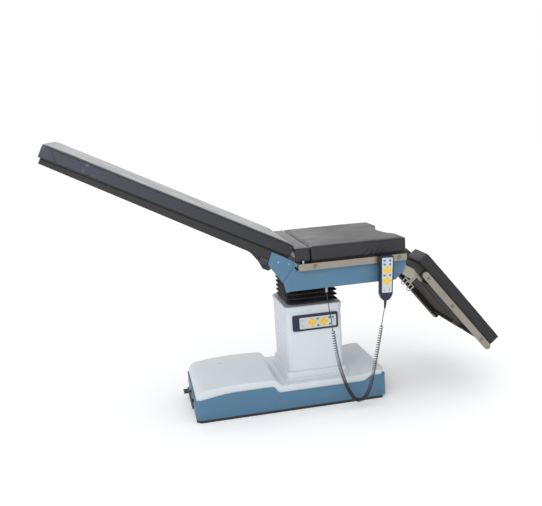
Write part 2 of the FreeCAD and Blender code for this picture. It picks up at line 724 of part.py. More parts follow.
def leg_bracket():
    """Cast arm with its pivot journal, the swing pin's foot and two ears for the release rod."""
    qx, qz = LEG_PIVOT
    y0 = -BRACKET_Y0 - BRACKET_T
    y1 = -BRACKET_Y0
    casting = [(qx - 2, qz + 19), (qx + 28.6, qz + 26.2), (qx + 58.6, FOOT_TOP + 0.5), (SWING_X - 6, FOOT_TOP),
               (SWING_X - 20, FOOT_TOP - FOOT_T), (qx + 82.6, qz + 1.7), (qx + 66.6, qz - 5.8), (qx, qz - 19)]
    arm = prism_xz(casting, y0, y1).fuse(cyl(20, (qx, y0, qz), (qx, y1, qz)))
    journal = cyl(LEG_PIN_R, (qx, -PLATE_SIDE_Y - PLATE_SIDE_T + 1, qz), (qx, y1, qz))
    low = FOOT_TOP - FOOT_T
    foot = box(SWING_X - 38, SWING_X, y0, -SWING_Y + 15, low, FOOT_TOP)
    disc = cyl(15, (SWING_X, -SWING_Y, low), (SWING_X, -SWING_Y, FOOT_TOP))
    pin = cyl(SWING_PIN_R, (SWING_X, -SWING_Y, low), (SWING_X, -SWING_Y, LEG_Z - 9.5))
    ears = []
    for x in (SWING_X - 33, SWING_X - 25):
        ears.append(box(x - 3, x + 3, LEVER_Y - 4, LEVER_Y + 4, LEVER_Z - 5, low + 2))
    body = fuse([arm, journal, foot, disc, pin] + ears)
    rod = cyl(LEVER_R + RUN_GAP, (SWING_X - 61, LEVER_Y, LEVER_Z), (SWING_X + 30, LEVER_Y, LEVER_Z))
    return lower_leg(body.cut(rod))


def leg_lever():
    """Wire bails that hang from a rod under the casting."""
    y = LEVER_Y
    z = LEVER_Z
    parts = [cyl(LEVER_R, (SWING_X - 60, y, z), (SWING_X + 3, y, z))]
    r = 9.0
    wire = LEVER_R - 0.8
    for x0 in (SWING_X - 57, SWING_X - 18):
        x1 = x0 + 2 * r
        parts.append(cyl(wire, (x0, y, z), (x0, y, z - 22)))
        parts.append(cyl(wire, (x1, y, z), (x1, y, z - 22)))
        ring = Part.makeTorus(r, wire, V(x0 + r, y, z - 22), Y)
        keep = box(x0 - r, x1 + r, y - r, y + r, z - 22 - 2 * r, z - 22)
        parts.append(ring.common(keep))
    return lower_leg(fuse(parts))


def leg_outline(grow, inner):
    """Near-side pad outline with its cut inner corner."""
    x0 = LEG_X0 - grow
    x1 = LEG_X1 + grow
    h = CUSHION_HALF_Y + grow
    return [(x0, -h), (x1, -h), (x1, -inner), (x0 + LEG_CUT_X, -inner), (x0, -LEG_CUT_Y)]


def leg_frame():
    z = LEG_Z
    h = CUSHION_HALF_Y
    low = z - LEG_BOARD_T
    board = rounded(prism_xy(leg_outline(-8, 6), low, z), 10, Z)
    edge = box(LEG_X0 + 59.8, LEG_X1 - 23.2, -h + 10, -h + 20, z - 28, low)
    hub = cyl(16, (SWING_X, -SWING_Y, FOOT_TOP + 0.5), (SWING_X, -SWING_Y, low))
    parts = [board, edge, hub]
    for x in (LEG_X0 + 149.8, LEG_X1 - 68.2):
        parts.append(box(x, x + 12, -h + 20, -40, z - 20, low))
    bore = cyl(SWING_PIN_R + RUN_GAP, (SWING_X, -SWING_Y, FOOT_TOP - 40), (SWING_X, -SWING_Y, LEG_Z - 9.2))
    return lower_leg(fuse(parts).cut(bore))


def leg_rail():
    """Side rail of a leg section on three distance bushes."""
    z = LEG_Z - 4
    x0 = LEG_X0 + 43.8
    x1 = LEG_X1 - 8.2
    bar = box(x0, x1, -RAIL_IN_Y - RAIL_T, -RAIL_IN_Y, z - RAIL_W, z)
    bar = rounded(bar, RAIL_W / 2 - 0.1, Y)
    parts = [bar]
    mid = z - RAIL_W / 2
    for x in (x0 + 36, (x0 + x1) / 2 - 33.6, x1 - 60):
        parts.append(cyl(7, (x, -RAIL_IN_Y, mid), (x, -CUSHION_HALF_Y + 10, mid)))
    return lower_leg(fuse(parts))


def leg_cushion():
    block = prism_xy(leg_outline(0, 2), LEG_Z, CUSHION_TOP)
    block = rounded(block, 8, Z)
    return lower_leg(pad(block, CUSHION_ROUND))


# Handset, socket and cord

def handset_body():
    """Tapering hand control with the hook that hangs it on the near rail."""
    y0 = HANDSET_Y - HANDSET_HALF_T
    y1 = HANDSET_Y + HANDSET_HALF_T
    outline = [(-28.5, 4), (30, 2), (28, -25), (19, -162.5), (11, -177), (0, -188), (-22, -188),
               (-32, -176), (-37, -159), (-33, -65)]
    body = prism_xz([(HANDSET_X + x, RAIL_TOP + z) for x, z in outline], y0, y1)
    body = rounded(body, 3.0, Y)
    rim = [e for e in body.Edges if max(v.Point.y for v in e.Vertexes) < y0 + 0.01]
    body = body.makeFillet(2.5, rim)
    x0 = HANDSET_X - 16
    x1 = HANDSET_X + 18
    behind = -RAIL_IN_Y + 4
    over = box(x0, x1, y1 - 1, behind, RAIL_TOP, RAIL_TOP + 3)
    back = box(x0, x1, -RAIL_IN_Y, behind, RAIL_TOP - 12, RAIL_TOP + 3)
    rest = box(x0, x1, y1 - 1, -RAIL_IN_Y - RAIL_T, RAIL_TOP - 20, RAIL_TOP + 3)
    return fuse([body, over, back, rest])


def handset_relief():
    x, y, z = RELIEF_END
    sleeve = cone(6.8, 4.0, (x + 4.4, y, HANDSET_FOOT + 3), RELIEF_END)
    return sleeve.cut(box(x - 20, x + 20, y - 20, y + 20, HANDSET_FOOT, HANDSET_FOOT + 23))


def cord_socket():
    x, y, z = SOCKET
    return cyl(SOCKET_R, SOCKET, (x, y, TABLE_SKIRT_BOTTOM + 1))


def route(points):
    x, y, z = SOCKET
    return [V(x + a, y - out, z + c) for a, out, c in points]


def tube(points, r, name):
    """Straight runs joined by tangent arcs."""
    pts = route(points)
    edges = []
    radii = []
    start = pts[0]
    for i in range(1, len(pts) - 1):
        a = pts[i] - pts[i - 1]
        b = pts[i + 1] - pts[i]
        cut = 0.45 * min(a.Length, b.Length)
        radius = cut / math.tan(a.getAngle(b) / 2.0)
        radii.append(round(radius, 1))
        a.normalize()
        b.normalize()
        p = pts[i] - a * cut
        q = pts[i] + b * cut
        inward = (p + q) * 0.5 - pts[i]
        inward.normalize()
        m = pts[i] + inward * (math.hypot(radius, cut) - radius)
        edges.append(Part.LineSegment(start, p).toShape())
        edges.append(Part.Arc(p, m, q).toShape())
        start = q
    edges.append(Part.LineSegment(start, pts[-1]).toShape())
    path = Part.Wire(edges)
    ring = Part.Wire([Part.Circle(pts[0], pts[1] - pts[0], r).toShape()])
    solid = path.makePipeShell([ring], True, False)
    want = math.pi * r * r * path.Length
    print(name, "radii", radii, "length", round(path.Length, 1), "volume ratio", round(solid.Volume / want, 4))
    return solid


# Pedal and castors

def pedal_bearings():
    px, pz = PEDAL_PIVOT
    out = []
    for y in PEDAL_BEARINGS:
        foot = box(px - 14, px + 14, y - 6, y + 6, PLATE_T, pz + SHAFT_R + 4)
        out.append(foot.cut(cyl(SHAFT_R + RUN_GAP, (px, y - 10, pz), (px, y + 10, pz))))
    return group(out)


def pedal_bar():
    px, pz = PEDAL_PIVOT
    x = BASE_LEFT
    shaft = cyl(SHAFT_R, (px, PEDAL_BEARINGS[0] - 10, pz), (px, PEDAL_BEARINGS[-1] + 10, pz))
    arms = [box(x - 9.5, px, y - 6, y + 6, pz - 5, pz + 5) for y in PEDAL_ARMS]
    bar = box(x - 13.5, x - 5.5, PEDAL_ARMS[0] - 85, PEDAL_ARMS[1] + 45, pz - 5, pz + 5)
    return fuse([shaft, rounded(bar, 2, Y)] + arms)


def pedal_pad():
    pz = PEDAL_PIVOT[1]
    x = BASE_LEFT - 13.5
    y = PEDAL_ARMS[1] + 3
    return rounded(box(x - 20, x, y - 23, y + 23, pz, pz + 5), 4, Z)


def carriage_frame():
    """Lifting carriage: two rails, a cross plate over each pair of castors, two pedal tongues."""
    z = CARRIAGE_Z
    h = CARRIAGE_HALF_Y
    x0 = CASTOR_X[0] - 40
    rails = both_sides(box(x0, CASTOR_X[1] + 40, h - 18, h - 4, z - 6, z + 10))
    cross = [box(x - 40, x + 40, -h, h, z, z + 10) for x in CASTOR_X]
    px, pz = PEDAL_PIVOT
    tongues = []
    for y in PEDAL_ARMS:
        low = box(px - 41, x0 + 10, y - 5, y + 5, pz - 26, pz - 18)
        finger = box(px - 41, px - 31, y - 5, y + 5, pz - 20, pz - 7)
        post = box(x0, x0 + 10, y - 5, y + 5, pz - 26, z + 6)
        tongues.append(low.fuse(finger).fuse(post))
    body = fuse(rails + cross + tongues)
    for x, y in guide_posts():
        body = body.cut(cyl(GUIDE_POST_R + RUN_GAP, (x, y, z - 40), (x, y, z + 40)))
    for x, y in castor_places():
        body = body.cut(cyl(STEM_R + RUN_GAP, (x, y, z - 20), (x, y, z + 40)))
    return body


def castor_fork(x, y):
    z = CARRIAGE_Z
    zc = WHEEL_LIFT + WHEEL_R
    crown = cyl(22, (x, y, z - 5), (x, y, z - 0.4))
    stem = cyl(STEM_R, (x, y, z - 4), (x, y, z + 12))
    nut = cyl(STEM_R + 3, (x, y, z + 10.4), (x, y, z + 14))
    xa = x - CASTOR_TRAIL
    w = WHEEL_W / 2.0 + 2
    arms = []
    for s in (-1, 1):
        ya = y + s * (w + 1.5)
        web = [(x - 14, z - 2), (x + 12, z - 2), (x + 6, z - 14), (xa + 8, zc - 5), (xa - 8, zc - 5),
               (xa - 8, zc + 5)]
        arms.append(prism_xz(web, ya - 1.5, ya + 1.5))
    axle = cyl(4, (xa, y - w - 3, zc), (xa, y + w + 3, zc))
    return fuse([crown, stem, nut, axle] + arms)


def castor_wheel(x, y):
    zc = WHEEL_LIFT + WHEEL_R
    xa = x - CASTOR_TRAIL
    w = WHEEL_W / 2.0
    wheel = cyl(WHEEL_R, (xa, y - w, zc), (xa, y + w, zc))
    rims = [e for e in wheel.Edges if len(e.Vertexes) == 1]
    wheel = wheel.makeFillet(4, rims)
    return wheel.cut(cyl(4 + RUN_GAP, (xa, y - w - 1, zc), (xa, y + w + 1, zc)))


def build():
    save(base_plate(), "base_plate")
    save(base_skirt(), "base_skirt")
    save(base_cover(), "base_cover")
    save(power_unit(), "power_unit")
    save(column_plinth(), "column_plinth")
    save(column_shell(), "column_shell")
    save(column_cap(), "column_cap")
    save(fixed_guide(), "fixed_guide")
    save(lift_cylinder(), "lift_cylinder")
    save(bellows(), "bellows")
    save(panel_bezel(), "panel_bezel")
    save(pedal_bearings(), "pedal_bearings")
    save(moving_guide(), "moving_guide")
    save(lift_rod(), "lift_rod")
    save(head_clevis(), "head_clevis")
    save(trend_motor(), "trend_gearmotor")
    save(tilt_cross(), "tilt_cross")
    save(seat_frame(), "seat_frame")
    save(tilt_motor(), "tilt_gearmotor")
    save(table_skirt(), "table_skirt")
    save(seat_board(), "seat_board")
    save(seat_cushion(), "seat_cushion")
    save(side_rails(), "side_rails")
    save(rail_spacers(), "rail_spacers")
    save(hinge_gearmotors(), "back_gearmotors")
    save(kidney_board(), "kidney_board")
    save(kidney_cushion(), "kidney_cushion")
    save(back_frame(), "back_frame")
    save(back_board(), "back_board")
    save(back_arms(), "back_arms")
    save(back_pins(), "back_pins")
    save(back_latches(), "back_latches")
    save(back_cushion(), "back_cushion")
    near = {
        "leg_bracket": leg_bracket(),
        "leg_lever": leg_lever(),
        "leg_frame": leg_frame(),
        "leg_rail": leg_rail(),
        "leg_cushion": leg_cushion(),
    }
    for name, shape in near.items():
        save(shape, name + "_near")
        save(mirror_y(shape), name + "_far")
    save(handset_body(), "handset_body")
    save(handset_relief(), "handset_relief")
    save(cord_socket(), "cord_socket")
    save(tube(LEAD_IN, LEAD_R, "lead in"), "cord_lead_socket")
    save(tube(COIL, COIL_R, "coil"), "cord_coil")
    save(tube(LEAD_OUT, LEAD_R, "lead out"), "cord_lead_handset")
    save(pedal_bar(), "pedal_bar")
    save(pedal_pad(), "pedal_pad")
    save(carriage_frame(), "carriage_frame")
    for k, (x, y) in enumerate(castor_places()):
        save(castor_fork(x, y), "castor_fork_%d" % (k + 1))
        save(castor_wheel(x, y), "castor_wheel_%d" % (k + 1))


build()
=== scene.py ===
import bmesh
import bpy
import math
from mathutils import Matrix, Vector
from mathutils.bvhtree import BVHTree


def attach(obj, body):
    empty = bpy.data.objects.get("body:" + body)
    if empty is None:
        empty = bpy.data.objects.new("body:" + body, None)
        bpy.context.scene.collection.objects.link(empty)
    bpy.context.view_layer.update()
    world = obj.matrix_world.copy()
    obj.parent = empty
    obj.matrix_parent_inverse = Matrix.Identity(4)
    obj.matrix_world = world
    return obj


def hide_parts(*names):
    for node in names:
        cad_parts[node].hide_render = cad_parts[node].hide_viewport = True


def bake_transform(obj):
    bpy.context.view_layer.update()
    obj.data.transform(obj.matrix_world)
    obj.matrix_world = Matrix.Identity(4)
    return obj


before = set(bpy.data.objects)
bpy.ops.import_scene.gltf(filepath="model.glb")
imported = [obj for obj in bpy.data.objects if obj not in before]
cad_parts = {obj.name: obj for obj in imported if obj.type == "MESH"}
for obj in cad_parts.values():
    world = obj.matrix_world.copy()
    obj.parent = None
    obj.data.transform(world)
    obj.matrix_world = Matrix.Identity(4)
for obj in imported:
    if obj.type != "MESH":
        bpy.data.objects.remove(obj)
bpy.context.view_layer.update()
scene = bpy.context.scene

# The photograph's camera: yaw, pitch and roll in degrees, place in metres
CAMERA_ANGLES = (10.74, 10.78, 3.82)
CAMERA_PLACE = (-0.7285, -3.065, 1.266)
FOCAL_PIXELS = 704.8
PICTURE_WIDTH = 542
SENSOR_WIDTH = 36
CLIP_END = 50

# Studio light and floor
WORLD_COLOUR = (0.985, 0.993, 1.0, 1)
WORLD_LIGHT = 0.93
KEY_PLACE = (-2.2, -3.4, 3.6)
KEY_TARGET = (0, 0, 0.4)
KEY_SIZE = (2.4, 2.4)
KEY_POWER = 55
FLOOR_RADIUS = 18
FLOOR_SIDES = 96
FLOOR_Z = -0.0003
FLOOR_GLOW = 0.13

# Places shared with the solids, in metres
COLUMN_FRONT = -0.143
COLUMN_TOP = 0.449
BELLOWS_TOP = 0.5517
CUSHION_TOP = 0.7295
CUSHION_HALF = 0.260
SEAT_PAD_Z = 0.6685
SECTION_PAD = 0.053
SEAT_X0, SEAT_X1 = -0.0298, 0.396
KIDNEY_X0, KIDNEY_X1 = -0.0968, -0.0287
# Near-black sheet at the kidney cushion's head end, painted shade in the wedge under the back
# cushion: its two faces along X and half its width
SHADE_SHEET_X0, SHADE_SHEET_X1, SHADE_SHEET_HALF = -0.0973, -0.0966, 0.2570
BACK_LENGTH = 1.0725
BACK_FROM_PIVOT = 0.0410
LEG_LENGTH = 0.538
LEG_FROM_PIVOT = 0.0418
BACK_PIVOT = Vector((-0.0884, 0, 0.658))
BACK_REST = math.radians(27.14)
LEG_PIVOT = Vector((0.3684, 0, 0.6043))
LEG_REST = math.radians(51.5)
RAIL_FACE = 0.280
RAIL_MID_Z = 0.6507
LEG_RAIL_Z = 0.6582
ARM_FACE = 0.2585
NEAR = -1
FAR = 1

# The control panel's recess and the handset's face
PANEL_X, PANEL_Z = 0.015, 0.371
PANEL_RECESS = 0.005
HANDSET_X, HANDSET_Z = 0.2843, 0.588
HANDSET_FACE = -0.312
HANDSET_LEAN = math.radians(2.6)

# Screws: places along the rails or on the back arms, head radius and height
RAIL_SCREWS_X = (-0.015, 0.355)
RAIL_SCREW_R = 0.0078
RAIL_SPOT = 0.0015
LEG_SCREWS_X = (0.490, 0.6634, 0.880)
LEG_SCREW_R = 0.0074
SLOTTED_HEIGHT = 0.0026
ARM_SCREWS = ((-0.170, 0.6405), (-0.1255, 0.6505))
ARM_SCREW_R = 0.0036
ARM_SCREW_HEIGHT = 0.0022

# The cord's route, its wire and the radius of its curl
LEAD_IN = [(0.0332, -0.254, 0.5283), (0.0356, -0.2565, 0.487), (0.0398, -0.261, 0.442),
           (0.0449, -0.2656, 0.402), (0.047, -0.268, 0.374)]
COIL = [(0.047, -0.268, 0.374), (0.0512, -0.2728, 0.318), (0.060, -0.279, 0.232),
        (0.079, -0.284, 0.149), (0.103, -0.288, 0.084), (0.128, -0.291, 0.041),
        (0.166, -0.2925, 0.040), (0.194, -0.293, 0.086), (0.217, -0.293, 0.173),
        (0.2375, -0.292, 0.270), (0.261, -0.293, 0.379)]
LEAD_OUT = [(0.261, -0.293, 0.379), (0.2653, -0.2932, 0.399), (0.2678, -0.296, 0.420),
            (0.2727, -0.300, 0.4407)]
WIRE_R = 0.0018
CURL_R = 0.0071
STEPS_PER_TURN = 12
CURL_START = 0.010
CURL_GROWTH_START = 0.006
CURL_GROWTH = 0.014
LEAST_CURL = 0.15

# Spacing of the cord's turns: closed between two shares of the route, opened towards both ends
CLOSED_PITCH = 0.0050
LEFT_PITCH = 0.0122
RIGHT_PITCH = 0.0104
CLOSED_FROM = 0.40
CLOSED_TO = 0.56
RIGHT_OPENING = 0.16

# Stuffed cushions: rim of the crisp shape, welts, cloth pressure, caps on the swelling of the sides
# and the underside, and the swell at which a cap is reached
PAD_RIM = 0.0042
WELT_R = 0.0014
WELT_IN = 0.0026
WELT_UNDER_TOP = 0.0029
WELT_OVER_BOTTOM = 0.0022
PRESSURE = 3.0
CLOTH_MASS = 0.3
CLOTH_QUALITY = 5
CLOTH_FRAMES = 20
PAD_SHARP_EDGE = math.radians(60)
SIDE_SWELL = 0.0011
UNDER_SWELL = 0.0002
FULL_SWELL = 0.006
CROWN = 0.0020

# Bellows sleeve
SLEEVE_X = 0.003
SLEEVE_LENGTH, SLEEVE_WIDTH = 0.236, 0.244
SLEEVE_CORNER = 0.016
SLEEVE_WALL = 0.0012
PLEATS = 5
PLEAT_DEPTH = 0.0240
PLEAT_SAG = 0.0026
# One pleat: share of its height, and depth inside the tips
PLEAT_SHAPE = [(0, PLEAT_DEPTH), (0.10, PLEAT_DEPTH * 0.90), (0.26, PLEAT_DEPTH * 0.46),
               (0.41, 0.0018), (0.47, 0.0006), (0.53, 0.0006), (0.59, 0.0018),
               (0.74, PLEAT_DEPTH * 0.46), (0.90, PLEAT_DEPTH * 0.90)]


# Camera, light and floor

def make_camera():
    """The camera that took the photograph."""
    yaw, pitch, roll = (math.radians(a) for a in CAMERA_ANGLES)
    level = math.cos(pitch)
    forward = Vector((math.sin(yaw) * level, math.cos(yaw) * level, -math.sin(pitch)))
    right = Vector((math.cos(yaw), -math.sin(yaw), 0))
    up = right.cross(forward)
    c, s = math.cos(roll), math.sin(roll)
    x = c * right - s * up
    y = s * right + c * up
    turn = Matrix((x, y, -forward)).transposed().to_4x4()
    data = bpy.data.cameras.new("camera")
    data.sensor_width = SENSOR_WIDTH
    data.sensor_fit = "HORIZONTAL"
    data.lens = FOCAL_PIXELS * SENSOR_WIDTH / PICTURE_WIDTH
    data.clip_end = CLIP_END
    cam = bpy.data.objects.new("camera", data)
    scene.collection.objects.link(cam)
    cam.matrix_world = Matrix.Translation(CAMERA_PLACE) @ turn
    scene.camera = cam


def add_area_light(name, place, target, size, power):
    data = bpy.data.lights.new(name, "AREA")
    data.shape = "RECTANGLE"
    data.size, data.size_y = size
    data.energy = power
    lamp = bpy.data.objects.new(name, data)
    scene.collection.objects.link(lamp)
    lamp.location = place
    lamp.rotation_euler = (Vector(target) - Vector(place)).to_track_quat("-Z", "Y").to_euler()


def make_world():
    """Even light on the part, and plain white where the camera or a reflection sees the world."""
    world = bpy.data.worlds.new("studio")
    scene.world = world
    world.use_nodes = True
    nt = world.node_tree
    nt.nodes.clear()
    light = nt.nodes.new("ShaderNodeBackground")
    light.inputs["Color"].default_value = WORLD_COLOUR
    light.inputs["Strength"].default_value = WORLD_LIGHT
    shown = nt.nodes.new("ShaderNodeBackground")
    shown.inputs["Color"].default_value = (1, 1, 1, 1)
    shown.inputs["Strength"].default_value = 1.0
    path = nt.nodes.new("ShaderNodeLightPath")
    seen = path.outputs["Is Camera Ray"]
    for kind in ("Is Glossy Ray", "Is Transmission Ray"):
        either = nt.nodes.new("ShaderNodeMath")
        either.operation = "MAXIMUM"
        nt.links.new(seen, either.inputs[0])
        nt.links.new(path.outputs[kind], either.inputs[1])
        seen = either.outputs[0]
    mix = nt.nodes.new("ShaderNodeMixShader")
    nt.links.new(seen, mix.inputs["Fac"])
    nt.links.new(light.outputs[0], mix.inputs[1])
    nt.links.new(shown.outputs[0], mix.inputs[2])
    out = nt.nodes.new("ShaderNodeOutputWorld")
    nt.links.new(mix.outputs[0], out.inputs["Surface"])


def make_floor():
    """Wide flat disc of pale floor, lifted to the background's white where the camera sees it."""
    bm = bmesh.new()
    bm.faces.new([bm.verts.new((x, y, FLOOR_Z)) for x, y in disc(FLOOR_RADIUS, FLOOR_SIDES)])
    floor = mesh_object("studio_floor", bm)
    m = bpy.data.materials.new("floor_pale")
    m.use_nodes = True
    bsdf = m.node_tree.nodes["Principled BSDF"]
    bsdf.inputs["Base Color"].default_value = (0.97, 0.975, 0.98, 1)
    bsdf.inputs["Roughness"].default_value = 0.95
    bsdf.inputs["Specular IOR Level"].default_value = 0.0
    bsdf.inputs["Emission Color"].default_value = (1, 1, 1, 1)
    path = m.node_tree.nodes.new("ShaderNodeLightPath")
    lift = m.node_tree.nodes.new("ShaderNodeMath")
    lift.operation = "MULTIPLY"
    lift.inputs[1].default_value = FLOOR_GLOW
    m.node_tree.links.new(path.outputs["Is Camera Ray"], lift.inputs[0])
    m.node_tree.links.new(lift.outputs[0], bsdf.inputs["Emission Strength"])
    floor.data.materials.append(m)


# Mesh helpers

SHARP_EDGE = math.radians(35)


def mesh_object(name, bm, smooth=False):
    """Turns bm into an object of the scene and frees it."""
    bmesh.ops.recalc_face_normals(bm, faces=bm.faces)
    data = bpy.data.meshes.new(name)
    bm.to_mesh(data)
    bm.free()
    if smooth:
        smooth_faces(data)
    obj = bpy.data.objects.new(name, data)
    scene.collection.objects.link(obj)
    return obj


def finish_piece(obj, body, material):
    """Gives a small piece its material, body and material slot."""
    obj.data.materials.append(MATERIALS[material])
    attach(obj, body)


def soften(obj, width, segments):
    """Bevels the sharp edges."""
    mod = obj.modifiers.new("edges", "BEVEL")
    mod.width = width
    mod.segments = segments
    mod.limit_method = "ANGLE"
    mod.angle_limit = SHARP_EDGE


def smooth_faces(data):
    data.polygons.foreach_set("use_smooth", [True] * len(data.polygons))


def rect(w, h, r, steps=5):
    """Rounded rectangle about the middle."""
    out = []
    for cx, cy, a0 in ((w / 2 - r, h / 2 - r, 0), (r - w / 2, h / 2 - r, 90),
                       (r - w / 2, r - h / 2, 180), (w / 2 - r, r - h / 2, 270)):
        for i in range(steps + 1):
            a = math.radians(a0 + 90 * i / steps)
            out.append((cx + r * math.cos(a), cy + r * math.sin(a)))
    return out


def disc(r, steps=28):
    turns = [2 * math.pi * i / steps for i in range(steps)]
    return [(r * math.cos(a), r * math.sin(a)) for a in turns]


def add_plate(bm, outline, frame_of, z0, z1, crown=0.0):
    """Adds a plate of that outline to bm. frame_of is (origin, u, v), and its normal is u x v."""
    origin, u, v = frame_of
    n = u.cross(v)
    low = [bm.verts.new(origin + u * a + v * b + n * z0) for a, b in outline]
    high = [bm.verts.new(origin + u * a + v * b + n * z1) for a, b in outline]
    count = len(outline)
    for i in range(count):
        j = (i + 1) % count
        bm.faces.new((low[i], low[j], high[j], high[i]))
    bm.faces.new(list(reversed(low)))
    if crown:
        mid = bm.verts.new(origin + u * (sum(a for a, b in outline) / count)
                           + v * (sum(b for a, b in outline) / count) + n * (z1 + crown))
        for i in range(count):
            bm.faces.new((high[i], high[(i + 1) % count], mid))
    else:
        bm.faces.new(high)


def add_ring(bm, outer, inner, frame_of, z0, z1):
    """Adds a flat ring between two outlines with the same number of points."""
    origin, u, v = frame_of
    n = u.cross(v)
    rows = []
    for outline, z in ((outer, z0), (outer, z1), (inner, z1), (inner, z0)):
        rows.append([bm.verts.new(origin + u * a + v * b + n * z) for a, b in outline])
    rows.append(rows[0])
    for p, q in zip(rows, rows[1:]):
        for i in range(len(outer)):
            j = (i + 1) % len(outer)
            bm.faces.new((p[i], p[j], q[j], q[i]))


def shift(outline, a, b):
    return [(p + a, q + b) for p, q in outline]


def side_frame(x, y, z, side):
    """Frame on an upright face: u along X, normal towards the near or the far side."""
    if side == NEAR:
        return (Vector((x, y, z)), Vector((1, 0, 0)), Vector((0, 0, 1)))
    return (Vector((x, y, z)), Vector((-1, 0, 0)), Vector((0, 0, 1)))


def turned(frame_of, pivot, angle):
    """The same frame after its section has turned about its hinge."""
    origin, u, v = frame_of
    m = Matrix.Rotation(angle, 3, "Y")
    return (pivot + m @ (origin - pivot), m @ u, m @ v)


def add_slotted_screw(bm, seats, frame_of, r, turn):
    """Two half heads on a near-black disc, painted shade in the countersink and in the driver's
    slot between them.
    """
    height = SLOTTED_HEIGHT
    head = r * 0.96
    # Painted shade: the near-black seat shows round the head and through the slot
    add_plate(seats, disc(r * 1.07), frame_of, 0, height * 0.45)
    origin, u, v = frame_of
    c, s = math.cos(turn), math.sin(turn)
    local = (origin, u * c + v * s, v * c - u * s)
    start = math.asin(r * 0.16 / head)
    half = []
    for i in range(13):
        a = start + (math.pi - 2 * start) * i / 12
        half.append((head * math.cos(a), head * math.sin(a)))
    add_plate(bm, half, local, height * 0.45, height)
    add_plate(bm, [(-a, -b) for a, b in half], local, height * 0.45, height)


def add_socket_screw(bm, frame_of, r, height):
    """Head with a hexagonal socket."""
    steps = 24
    hexagon = []
    for i in range(steps):
        a = 2 * math.pi * i / steps
        side = math.cos(math.pi / 6) / math.cos((a % (math.pi / 3)) - math.pi / 6)
        hexagon.append((0.5 * r * side * math.cos(a), 0.5 * r * side * math.sin(a)))
    add_ring(bm, disc(r, steps), hexagon, frame_of, 0, height)
    add_plate(bm, [(a * 0.99, b * 0.99) for a, b in hexagon], frame_of, 0, height * 0.35)


# Materials

MATERIALS = {}


class Graph:
    """Small helper to wire a Principled material."""

    def __init__(self, name, colour, rough, metallic=0.0):
        self.mat = bpy.data.materials.new(name)
        self.mat.use_nodes = True
        self.nt = self.mat.node_tree
        self.bsdf = self.nt.nodes["Principled BSDF"]
        self.bsdf.inputs["Base Color"].default_value = (*linear(colour), 1)
        self.bsdf.inputs["Roughness"].default_value = rough
        self.bsdf.inputs["Metallic"].default_value = metallic
        self.colour = linear(colour)
        self.coord = self.node("ShaderNodeTexCoord").outputs["Object"]
        self.height = None

    def node(self, kind, **settings):
        n = self.nt.nodes.new(kind)
        for key, value in settings.items():
            setattr(n, key, value)
        return n

    def link(self, a, b):
        self.nt.links.new(a, b)

    def stretched(self, scale):
        n = self.node("ShaderNodeMapping")
        n.inputs["Scale"].default_value = scale
        self.link(self.coord, n.inputs["Vector"])
        return n.outputs[0]

    def noise(self, scale, detail=4.0, rough=0.5, coord=None):
        n = self.node("ShaderNodeTexNoise")
        n.inputs["Scale"].default_value = scale
        n.inputs["Detail"].default_value = detail
        n.inputs["Roughness"].default_value = rough
        self.link(coord or self.coord, n.inputs["Vector"])
        return n.outputs["Fac"]

    def cells(self, scale):
        """Distance to the edges of a cell pattern."""
        n = self.node("ShaderNodeTexVoronoi", feature="DISTANCE_TO_EDGE")
        n.inputs["Scale"].default_value = scale
        self.link(self.coord, n.inputs["Vector"])
        return n.outputs["Distance"]

    def spread(self, value, low, high, to_low, to_high):
        """Maps low to high onto to_low to to_high, and holds it there outside."""
        n = self.node("ShaderNodeMapRange")
        n.inputs["From Min"].default_value = low
        n.inputs["From Max"].default_value = high
        n.inputs["To Min"].default_value = to_low
        n.inputs["To Max"].default_value = to_high
        self.link(value, n.inputs["Value"])
        return n.outputs[0]

    def along(self, axis):
        n = self.node("ShaderNodeSeparateXYZ")
        self.link(self.coord, n.inputs[0])
        return n.outputs[axis]

    def combine(self, operation, a, b):
        n = self.node("ShaderNodeMath", operation=operation)
        self.link(a, n.inputs[0])
        self.link(b, n.inputs[1])
        return n.outputs[0]

    def tint(self, fac, other):
        """Mixes another colour into what the base colour holds by fac."""
        n = self.node("ShaderNodeMix", data_type="RGBA")
        self.link(fac, n.inputs["Factor"])
        socket = self.bsdf.inputs["Base Color"]
        if socket.is_linked:
            self.link(socket.links[0].from_socket, n.inputs["A"])
        else:
            n.inputs["A"].default_value = (*self.colour, 1)
        n.inputs["B"].default_value = (*linear(other), 1)
        self.link(n.outputs["Result"], socket)

    def roughen(self, fac, low, high):
        self.link(self.spread(fac, 0.3, 0.7, low, high), self.bsdf.inputs["Roughness"])

    def bump(self, height, strength, distance):
        n = self.node("ShaderNodeBump")
        n.inputs["Strength"].default_value = strength
        n.inputs["Distance"].default_value = distance
        self.link(height, n.inputs["Height"])
        if self.height is not None:
            self.link(self.height, n.inputs["Normal"])
        self.height = n.outputs[0]
        self.link(self.height, self.bsdf.inputs["Normal"])

    def set(self, **sockets):
        for key, value in sockets.items():
            self.bsdf.inputs[key.replace("_", " ")].default_value = value


def linear(colour):
    """Eight-bit screen colour as scene-linear values."""
    out = []
    for c in colour:
        c = c / 255.0
        out.append(c / 12.92 if c <= 0.04045 else ((c + 0.055) / 1.055) ** 2.4)
    return tuple(out)


def paint(name, colour, rough, dust):
    g = Graph(name, colour, rough)
    g.tint(g.spread(g.noise(7, 5), 0.35, 0.75, 0.0, 0.22), dust)
    g.tint(g.spread(g.noise(160, 3), 0.62, 0.74, 0.0, 0.35), dust)
    g.roughen(g.noise(24, 4), rough - 0.06, rough + 0.08)
    g.bump(g.noise(520, 2), 0.10, 0.0004)
    return g


def moulded(name, colour, rough, dust):
    g = Graph(name, colour, rough)
    g.tint(g.spread(g.noise(3.2, 4), 0.4, 0.75, 0.0, 0.16), dust)
    g.roughen(g.noise(14, 5), rough - 0.07, rough + 0.09)
    g.bump(g.noise(900, 2), 0.06, 0.0003)
    g.bump(g.noise(26, 2), 0.05, 0.0015)
    return g


